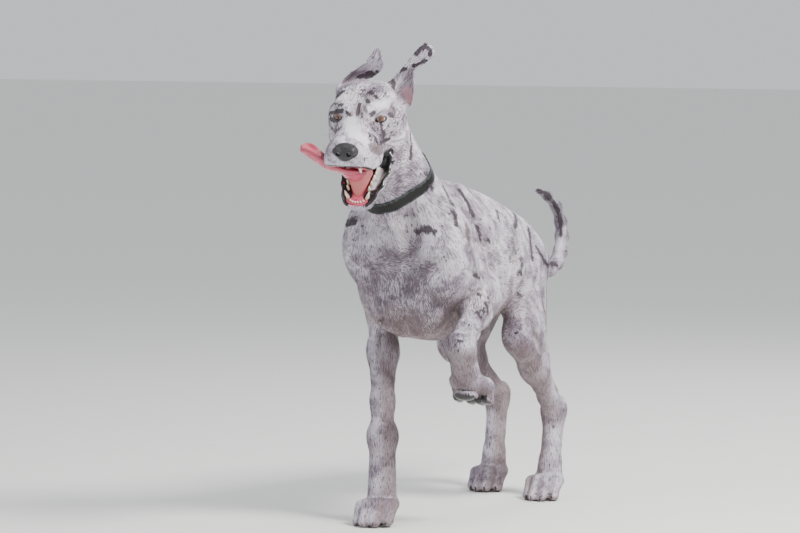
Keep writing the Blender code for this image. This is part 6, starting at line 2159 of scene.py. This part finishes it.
@dataclass
class Tongue:
    """The tongue thrown out to the right, rows of two edges and a middle from root to tip."""

    head: Head
    bench: Workbench
    rows: tuple = (
        ((0.015, 0.004, -0.108), (0.0, 0.004, -0.116), (-0.015, 0.004, -0.108), 0.0080),
        ((0.019, -0.040, -0.110), (0.0, -0.040, -0.122), (-0.019, -0.040, -0.112), 0.0075),
        ((0.021, -0.078, -0.100), (0.0, -0.080, -0.112), (-0.021, -0.078, -0.104), 0.0070),
        ((0.014, -0.110, -0.088), (-0.008, -0.100, -0.095), (-0.026, -0.088, -0.092), 0.0062),
        ((-0.014, -0.122, -0.080), (-0.032, -0.106, -0.086), (-0.042, -0.088, -0.082), 0.0056),
        ((-0.044, -0.126, -0.068), (-0.054, -0.108, -0.080), (-0.060, -0.088, -0.064), 0.0050),
        ((-0.068, -0.122, -0.052), (-0.074, -0.106, -0.068), (-0.078, -0.086, -0.047), 0.0046),
        ((-0.090, -0.116, -0.042), (-0.093, -0.104, -0.057), (-0.096, -0.086, -0.039), 0.0042),
        ((-0.106, -0.108, -0.043), (-0.107, -0.102, -0.050), (-0.108, -0.096, -0.041), 0.0036))
    under: tuple = ((0.008, -0.056, -0.108), (0.004, -0.064, -0.168), 0.030, 0.0060)
    step: float = 0.0013
    finish: TongueFinish = TongueFinish("wet tongue", Slot.TONGUE)

    def build(self) -> Piece:
        """Cast the blade and the web that ties it to the jaw."""
        top, bottom, wide, narrow = self.under
        web = Limb(top, bottom, wide, narrow, 0.006, (0, 1, 0.25), 0.36)
        forms = [Sheet(self.rows, 0.0), web]
        keys = np.arange(len(self.rows), dtype=float)
        first, mid, last = (smooth_curve(keys, [row[i] for row in self.rows]) for i in range(3))
        middle = mid(np.linspace(1.2, keys[-1] - 0.6, 24))
        rims = [edge(np.linspace(0, keys[-1], 40)) for edge in (first, last)]

        def distance(points: Array) -> Array:
            """The tongue with a groove along its middle."""
            result = measure(forms, points) + 0.0004
            groove = path_distance(points, middle + vec(0, 0, 0.0088)) - 0.0034
            return carve(result, groove, 0.004)

        points, quads = Casting(distance, (-0.122, -0.140, -0.180), (0.045, 0.02, -0.028), self.step).skin()
        rim = np.min([path_distance(points, line) for line in rims], axis=0)
        web_near = soft_step(web.distance(points), 0.004, -0.0005)
        return self.bench.piece("tongue_blade", self.head.outward(points), quads, self.finish, ("tongue",),
                                rim=soft_step(rim, 0.0075, 0.004), under=web_near)


@dataclass
class Teeth:
    """Canines, incisors and cheek teeth."""

    head: Head
    bench: Workbench
    canine_low: tuple = ((0.0195, -0.117, -0.084), 0.024, 0.0055)
    canine_up: tuple = ((0.0235, -0.120, -0.066), 0.022, 0.0058)
    incisors: tuple = ((0.0030, -0.1285, 0.0028), (0.0088, -0.1270, 0.0030), (0.0142, -0.1235, 0.0032))
    cheek_y: tuple = (-0.098, -0.084, -0.068, -0.048, -0.026)
    cheek_r: tuple = (0.0042, 0.0050, 0.0060, 0.0078, 0.0085)
    finish: ToothFinish = ToothFinish("enamel", Slot.TEETH)

    def fang(self, root: Array, lean: Array, bend: Array, height: float, radius: float) -> tuple[Array, list]:
        """A curved pointed tooth."""
        places = np.linspace(0, 1, 9)
        path = np.array([root + lean * height * t + bend * height * 0.22 * t * t for t in places])
        radii = [radius * (1 - t**1.6) ** 0.8 + 0.0004 for t in places]
        return lathe(path, radii, 14, 0.8, np.cross(lean, bend))

    def crown(self, root: Array, lean: Array, along: Array, height: float, radius: float, cusps: int) -> list:
        """A low tooth of one or more cusps set along the jaw."""
        parts = []
        offsets = np.linspace(-1, 1, cusps) * radius * 0.72 if cusps > 1 else [0.0]
        for n, shift in enumerate(offsets):
            tall = height * (1.0 if cusps == 1 or n == cusps // 2 else 0.62)
            places = np.linspace(0, 1, 7)
            path = np.array([root + along * shift + lean * tall * t for t in places])
            thick = radius * (0.75 if cusps > 1 else 1.0)
            radii = [thick * (1 - 0.55 * t) * (1 - t**3) ** 0.6 + 0.0004 for t in places]
            parts.append(lathe(path, radii, 10, 0.72, np.cross(lean, along)))
        return parts

    def build(self) -> Piece:
        """All teeth that the open mouth shows."""
        head, parts, roots = self.head, [], []
        jaw = head.jaw_turn

        def keep(shapes: list) -> None:
            """Note each tooth with how near its points are to the root."""
            for points, faces in shapes:
                rows = np.linspace(1, 0, len(points))
                parts.append((head.outward(points), faces))
                roots.append(rows)

        for s in (-1, 1):
            spot, height, radius = self.canine_low
            root = head.from_jaw([(s * spot[0], spot[1], spot[2])])[0]
            keep([self.fang(root, jaw @ unit((s * 0.26, -0.02, 1.0)), jaw @ vec(s * 0.3, 0.9, 0),
                            height, radius)])
            spot, height, radius = self.canine_up
            keep([self.fang(vec(s * spot[0], spot[1], spot[2]), unit((s * 0.12, -0.16, -1.0)),
                            vec(s * 0.1, 0.9, 0), height, radius)])
            for x, y, radius in self.incisors:
                root = head.from_jaw([(s * x, y, -0.085)])[0]
                keep(self.crown(root, jaw @ unit((0, -0.25, 1.0)), jaw @ vec(1, 0, 0), 0.013, radius, 1))
            span = self.cheek_y[-1] - self.cheek_y[0]
            for n, (y, radius) in enumerate(zip(self.cheek_y, self.cheek_r)):
                x = 0.0225 + 0.0125 * (y - self.cheek_y[0]) / span
                root = head.from_jaw([(s * x, y, -0.074)])[0]
                keep(self.crown(root, jaw @ unit((s * 0.15, 0, 1.0)), jaw @ unit((s * 0.28, 1, 0)),
                                0.010 + radius, radius, 1 if n < 2 else 3))
        points, faces = gather(parts)
        made = self.bench.piece("teeth", points, faces, self.finish, root=np.concatenate(roots))
        close_seams(made.data)
        return made


def seed_mesh(name: str, points: Array, faces: list) -> Piece:
    """A small form that copies are made of."""
    mesh = bpy.data.meshes.new(name)
    mesh.from_pydata(np.asarray(points).tolist(), [], faces)
    return bpy.data.objects.new(name, mesh)


def host_mesh(name: str, points: Array, up: Array, lie: Array, size: Array) -> Piece:
    """Loose points that copies stand on, each with its directions and size."""
    mesh = bpy.data.meshes.new(name)
    mesh.from_pydata(np.asarray(points).tolist(), [], [])
    for label, values in (("up", up), ("lie", lie), ("hair", size)):
        Workbench.layer(mesh, label, values)
    made = bpy.data.objects.new(name, mesh)
    bpy.context.scene.collection.objects.link(made)
    return made


@dataclass
class Whiskers:
    """Fine stiff hairs on the muzzle, the brows and the cheeks."""

    skin: Skin
    bench: Workbench
    long: float = 0.034
    thick: float = 0.00032
    # Rows in the head's frame: middle, spread and count for one side.
    rows: tuple = (((0.042, -0.128, -0.045), (0.004, 0.018, 0.014), 16),
                   ((0.030, -0.022, 0.020), (0.010, 0.006, 0.002), 4),
                   ((0.060, 0.030, -0.050), (0.002, 0.006, 0.006), 3))
    finish: Whisker = Whisker("whisker", Slot.COAT)

    def build(self) -> Piece:
        """Root every whisker on the skin and lean it back along the hair."""
        random = np.random.default_rng(SEED + 1)
        hound = self.skin.hound
        spots = []
        for middle, spread, count in self.rows:
            for side in (-1, 1):
                local = vec(*middle) + random.uniform(-1, 1, (count, 3)) * vec(*spread)
                spots.append(hound.head.outward(local * vec(side, 1, 1)))
        points = np.concatenate(spots)
        for _ in range(5):
            slope = gradient(hound.distance, points, 0.001)
            slope /= length_of(slope)[:, None]
            points = points - slope * hound.distance(points)[:, None]
        lie = self.skin.lie(points, slope)
        up = slope * 0.9 + lie * 0.45
        up /= length_of(up)[:, None]
        places = np.linspace(0, 1, 7)
        path = np.array([(0, 0.30 * self.long * t * t, self.long * t - 0.001) for t in places])
        item = seed_mesh("whisker", *lathe(path, [self.thick * (1 - 0.9 * t) for t in places], 5))
        lengths = random.uniform(0.5, 1.0, len(points))
        host = host_mesh("whisker roots", points + self.bench.shift, up, lie, lengths)
        scatter = Scatter("whiskers on the muzzle", 0.0, (0.8, 1.1), 0.3)
        made = scatter.build(host, item, self.finish, "whiskers")
        bpy.data.objects.remove(host)
        return Workbench.hand_over(made, self.finish)


@dataclass
class Claws:
    """Curved dark claws."""

    hound: Hound
    bench: Workbench
    long: float = 0.021
    radius: float = 0.0046
    lowest: float = 0.0002
    finish: HornFinish = HornFinish("claw horn", Slot.CLAW)

    def build(self) -> Piece:
        """Four claws a paw."""
        parts, rays = [], []
        for paw in self.hound.paws():
            for root, way, top in paw.claws():
                places = np.linspace(0, 1, 8)
                path = np.array([root - way * 0.005 + way * (self.long - 0.002) * t
                                 + top * 0.006 * (t - t * t) - top * 0.002 * t * t for t in places])
                radii = [self.radius * (1 - t**1.5) ** 0.8 + 0.0005 for t in places]
                part = lathe(path, radii, 12, 0.85, np.cross(way, top))
                parts.append(part)
                rays += [way] * len(part[0])
        points, faces = gather(parts)
        points[:, 2] = np.maximum(points[:, 2], self.lowest)
        made = self.bench.piece("claws", points, faces, self.finish, ray=np.array(rays))
        close_seams(made.data)
        return made


@dataclass
class Collar:
    """Leather collar with two rows of stitching and a buckle."""

    hound: Hound
    bench: Workbench
    wide: float = 0.027
    thick: float = 0.004
    sink: float = 0.0015
    # How far the stitches stand in from the strap's edges.
    from_edge: float = 0.0021
    sides: int = 176
    finish: LeatherFinish = LeatherFinish("collar leather", Slot.COLLAR)
    thread: ThreadFinish = ThreadFinish("collar thread", Slot.COLLAR)
    steel: SteelFinish = SteelFinish("buckle steel", Slot.BUCKLE)

    def __post_init__(self) -> None:
        """Fit the loop to the neck."""
        self.axis = unit(self.hound.collar_axis)
        self.across = unit(np.cross(self.axis, (0, 0, 1)))
        self.ahead = unit(np.cross(self.across, self.axis))
        reach = np.linspace(0.02, 0.16, 141)
        forms, radii = self.hound.trunk.forms(), []
        for i in range(self.sides):
            away = measure(forms, vec(*self.hound.collar_at) + reach[:, None] * self.ray(i / self.sides))
            first = int(np.argmax(away > 0))
            share = away[first - 1] / (away[first - 1] - away[first])
            radii.append(reach[first - 1] + share * (reach[1] - reach[0]))
        fitted = np.array(radii)
        for _ in range(40):
            fitted = (np.roll(fitted, 1) + 2 * fitted + np.roll(fitted, -1)) / 4
        self.radii = fitted

    def ray(self, turn: float) -> Array:
        """Outward direction a share of the way round."""
        angle = 2 * math.pi * turn
        return self.across * math.cos(angle) + self.ahead * math.sin(angle)

    def ring(self, profile: Sequence[tuple[float, float]]) -> tuple[Array, list]:
        """A band swept round the neck from a closed outline of (out, up)."""
        points, faces = [], []
        count = len(profile)
        for i in range(self.sides):
            ray = self.ray(i / self.sides)
            base = vec(*self.hound.collar_at) + ray * self.radii[i]
            points += [base + ray * out + self.axis * up for out, up in profile]
        for i in range(self.sides):
            for j in range(count):
                k, n = (j + 1) % count, (i + 1) % self.sides
                faces.append((i * count + j, i * count + k, n * count + k, n * count + j))
        return np.array(points), faces

    def band(self) -> Piece:
        """Base strap with a raised upper layer and rolled edges."""
        inner, outer, half = -self.sink, self.thick - self.sink, self.wide / 2
        base = [(inner, -half), (inner, half), (outer - 0.0016, half), (outer - 0.0008, half - 0.0008),
                (outer - 0.0008, half - 0.0034), (outer - 0.0001, half - 0.0042), (outer, half - 0.0060),
                (outer, -half + 0.0060), (outer - 0.0001, -half + 0.0042), (outer - 0.0008, -half + 0.0034),
                (outer - 0.0008, -half + 0.0008), (outer - 0.0016, -half)]
        points, faces = self.ring(base)
        # edge: how strongly each outline point takes the painted highlight, most on the rolled edges.
        high = np.tile([0, 1, 1, 1, 0.3, 0.8, 0, 0, 0.8, 0.3, 1, 1], self.sides).astype(float)
        made = self.bench.piece("collar_strap", points, faces, self.finish, ("collar_band",), edge=high)
        close_seams(made.data)
        return made

    def stitches(self) -> Piece:
        """Two rows of thread set along the strap's edges."""
        reach = self.radii + self.thick - self.sink - 0.0008
        rays = np.array([self.ray(n / self.sides) for n in range(self.sides)])
        base = vec(*self.hound.collar_at) + rays * reach[:, None]
        tangents = np.roll(base, -1, axis=0) - np.roll(base, 1, axis=0)
        tangents /= length_of(tangents)[:, None]
        edge = self.wide / 2 - self.from_edge
        rows = [base + self.axis * up for up in (edge, -edge)]
        path = np.array([(0, along, 0) for along in (-0.0017, -0.0012, 0, 0.0012, 0.0017)])
        item = seed_mesh("stitch", *lathe(path, (0.0001, 0.0004, 0.0005, 0.0004, 0.0001), 6))
        host = host_mesh("stitch line", np.concatenate(rows) + self.bench.shift, np.tile(rays, (2, 1)),
                         np.tile(tangents, (2, 1)), np.ones(2 * self.sides))
        scatter = Scatter("thread along the strap", 0.0, (0.95, 1.05), 0.05)
        made = scatter.build(host, item, self.thread, "collar_stitches")
        bpy.data.objects.remove(host)
        return Workbench.hand_over(made, self.thread)

    def build(self, buckle: Piece) -> None:
        """Strap and stitches, and steel on the solids' own buckle."""
        self.band()
        self.stitches()
        buckle.data.materials.clear()
        buckle.data.materials.append(self.steel.material())


@dataclass(frozen=True)
class Lamp:
    """A soft square light: its place, side in metres, watts, aim and tint."""

    name: str
    spot: Point
    size: float
    power: float
    aim: Point
    tint: Point = (1, 1, 1)


@dataclass
class Studio:
    """Pale floor, soft lights and the camera."""

    view: Viewpoint
    bench: Workbench
    floor_half: float = 30.0
    lamps: tuple = (Lamp("key", (2.3, -0.7, 3.1), 1.0, 215, (0, 0.2, 0.6), (1.0, 0.985, 0.96)),
                    Lamp("fill", (-2.6, -3.4, 2.2), 2.6, 42, (0, 0.1, 0.6), (0.95, 0.97, 1.0)),
                    Lamp("back", (0.2, 3.2, 3.0), 1.6, 60, (0, 0.3, 0.6)))
    air: tuple = (0.92, 0.94, 0.97, 1)
    air_strength: float = 0.80
    sight: float = 200.0

    @staticmethod
    def light(lamp: Lamp) -> None:
        """Hang one lamp and point it."""
        data = bpy.data.lights.new(lamp.name, "AREA")
        data.size, data.energy, data.color = lamp.size, lamp.power, lamp.tint
        made = bpy.data.objects.new(lamp.name, data)
        made.location = lamp.spot
        made.rotation_euler = (Vector(lamp.aim) - Vector(lamp.spot)).to_track_quat("-Z", "Y").to_euler()
        bpy.context.scene.collection.objects.link(made)

    def build(self) -> None:
        """Set everything round the animal."""
        half = self.floor_half
        mesh = bpy.data.meshes.new("floor")
        corners = [(-half, -half, 0), (half, -half, 0), (half, half, 0), (-half, half, 0)]
        mesh.from_pydata(corners, [], [(0, 1, 2, 3)])
        mesh.materials.append(FloorFinish("pale floor", Slot.COAT).material())
        floor = bpy.data.objects.new("floor", mesh)
        bpy.context.scene.collection.objects.link(floor)
        floor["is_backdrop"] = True
        for lamp in self.lamps:
            self.light(lamp)
        world = bpy.data.worlds.new("studio air")
        world.use_nodes = True
        background = world.node_tree.nodes["Background"].inputs
        background["Color"].default_value = self.air
        background["Strength"].default_value = self.air_strength
        bpy.context.scene.world = world
        eye = bpy.data.cameras.new("camera")
        eye.lens, eye.sensor_width = self.view.lens, self.view.sensor
        eye.clip_end = self.sight
        camera = bpy.data.objects.new("camera", eye)
        camera.location = self.view.place() + self.bench.shift
        camera.rotation_euler = self.view.turn().to_euler()
        bpy.context.scene.collection.objects.link(camera)
        bpy.context.scene.camera = camera


def main() -> None:
    """Build every piece."""
    logging.basicConfig(level=logging.INFO, format="%(relativeCreated)6d %(message)s")
    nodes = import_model()["nodes"]
    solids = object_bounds()
    hound, view = Hound(), Viewpoint()
    low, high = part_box("eye_left")
    shift = (np.array(low) + np.array(high)) / 2 - hound.head.outward([hound.head.eye])[0]
    bench = Workbench(shift)
    Studio(view, bench).build()
    Muscles().press(hound, view)
    LOG.info("hollows: %d", len(hound.grooves))
    markings = Markings()
    markings.lay(hound, view)
    skin = Skin(hound, markings, view, bench)
    skins = skin.build()
    Hair(skin, bench).build(skins)
    Eyes(hound.head, bench).build()
    NoseLeather(hound.head, bench).build()
    Tongue(hound.head, bench).build()
    Teeth(hound.head, bench).build()
    Claws(hound, bench).build()
    Collar(hound, bench).build(nodes["collar_buckle"])
    Whiskers(skin, bench).build()
    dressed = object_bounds()
    rows = [[[float(v) for v in corner] for corner in box] for box in (solids, dressed)]
    LOG.info("solids %s dressed %s", rows[0], rows[1])


if __name__ == "__main__":
    main()
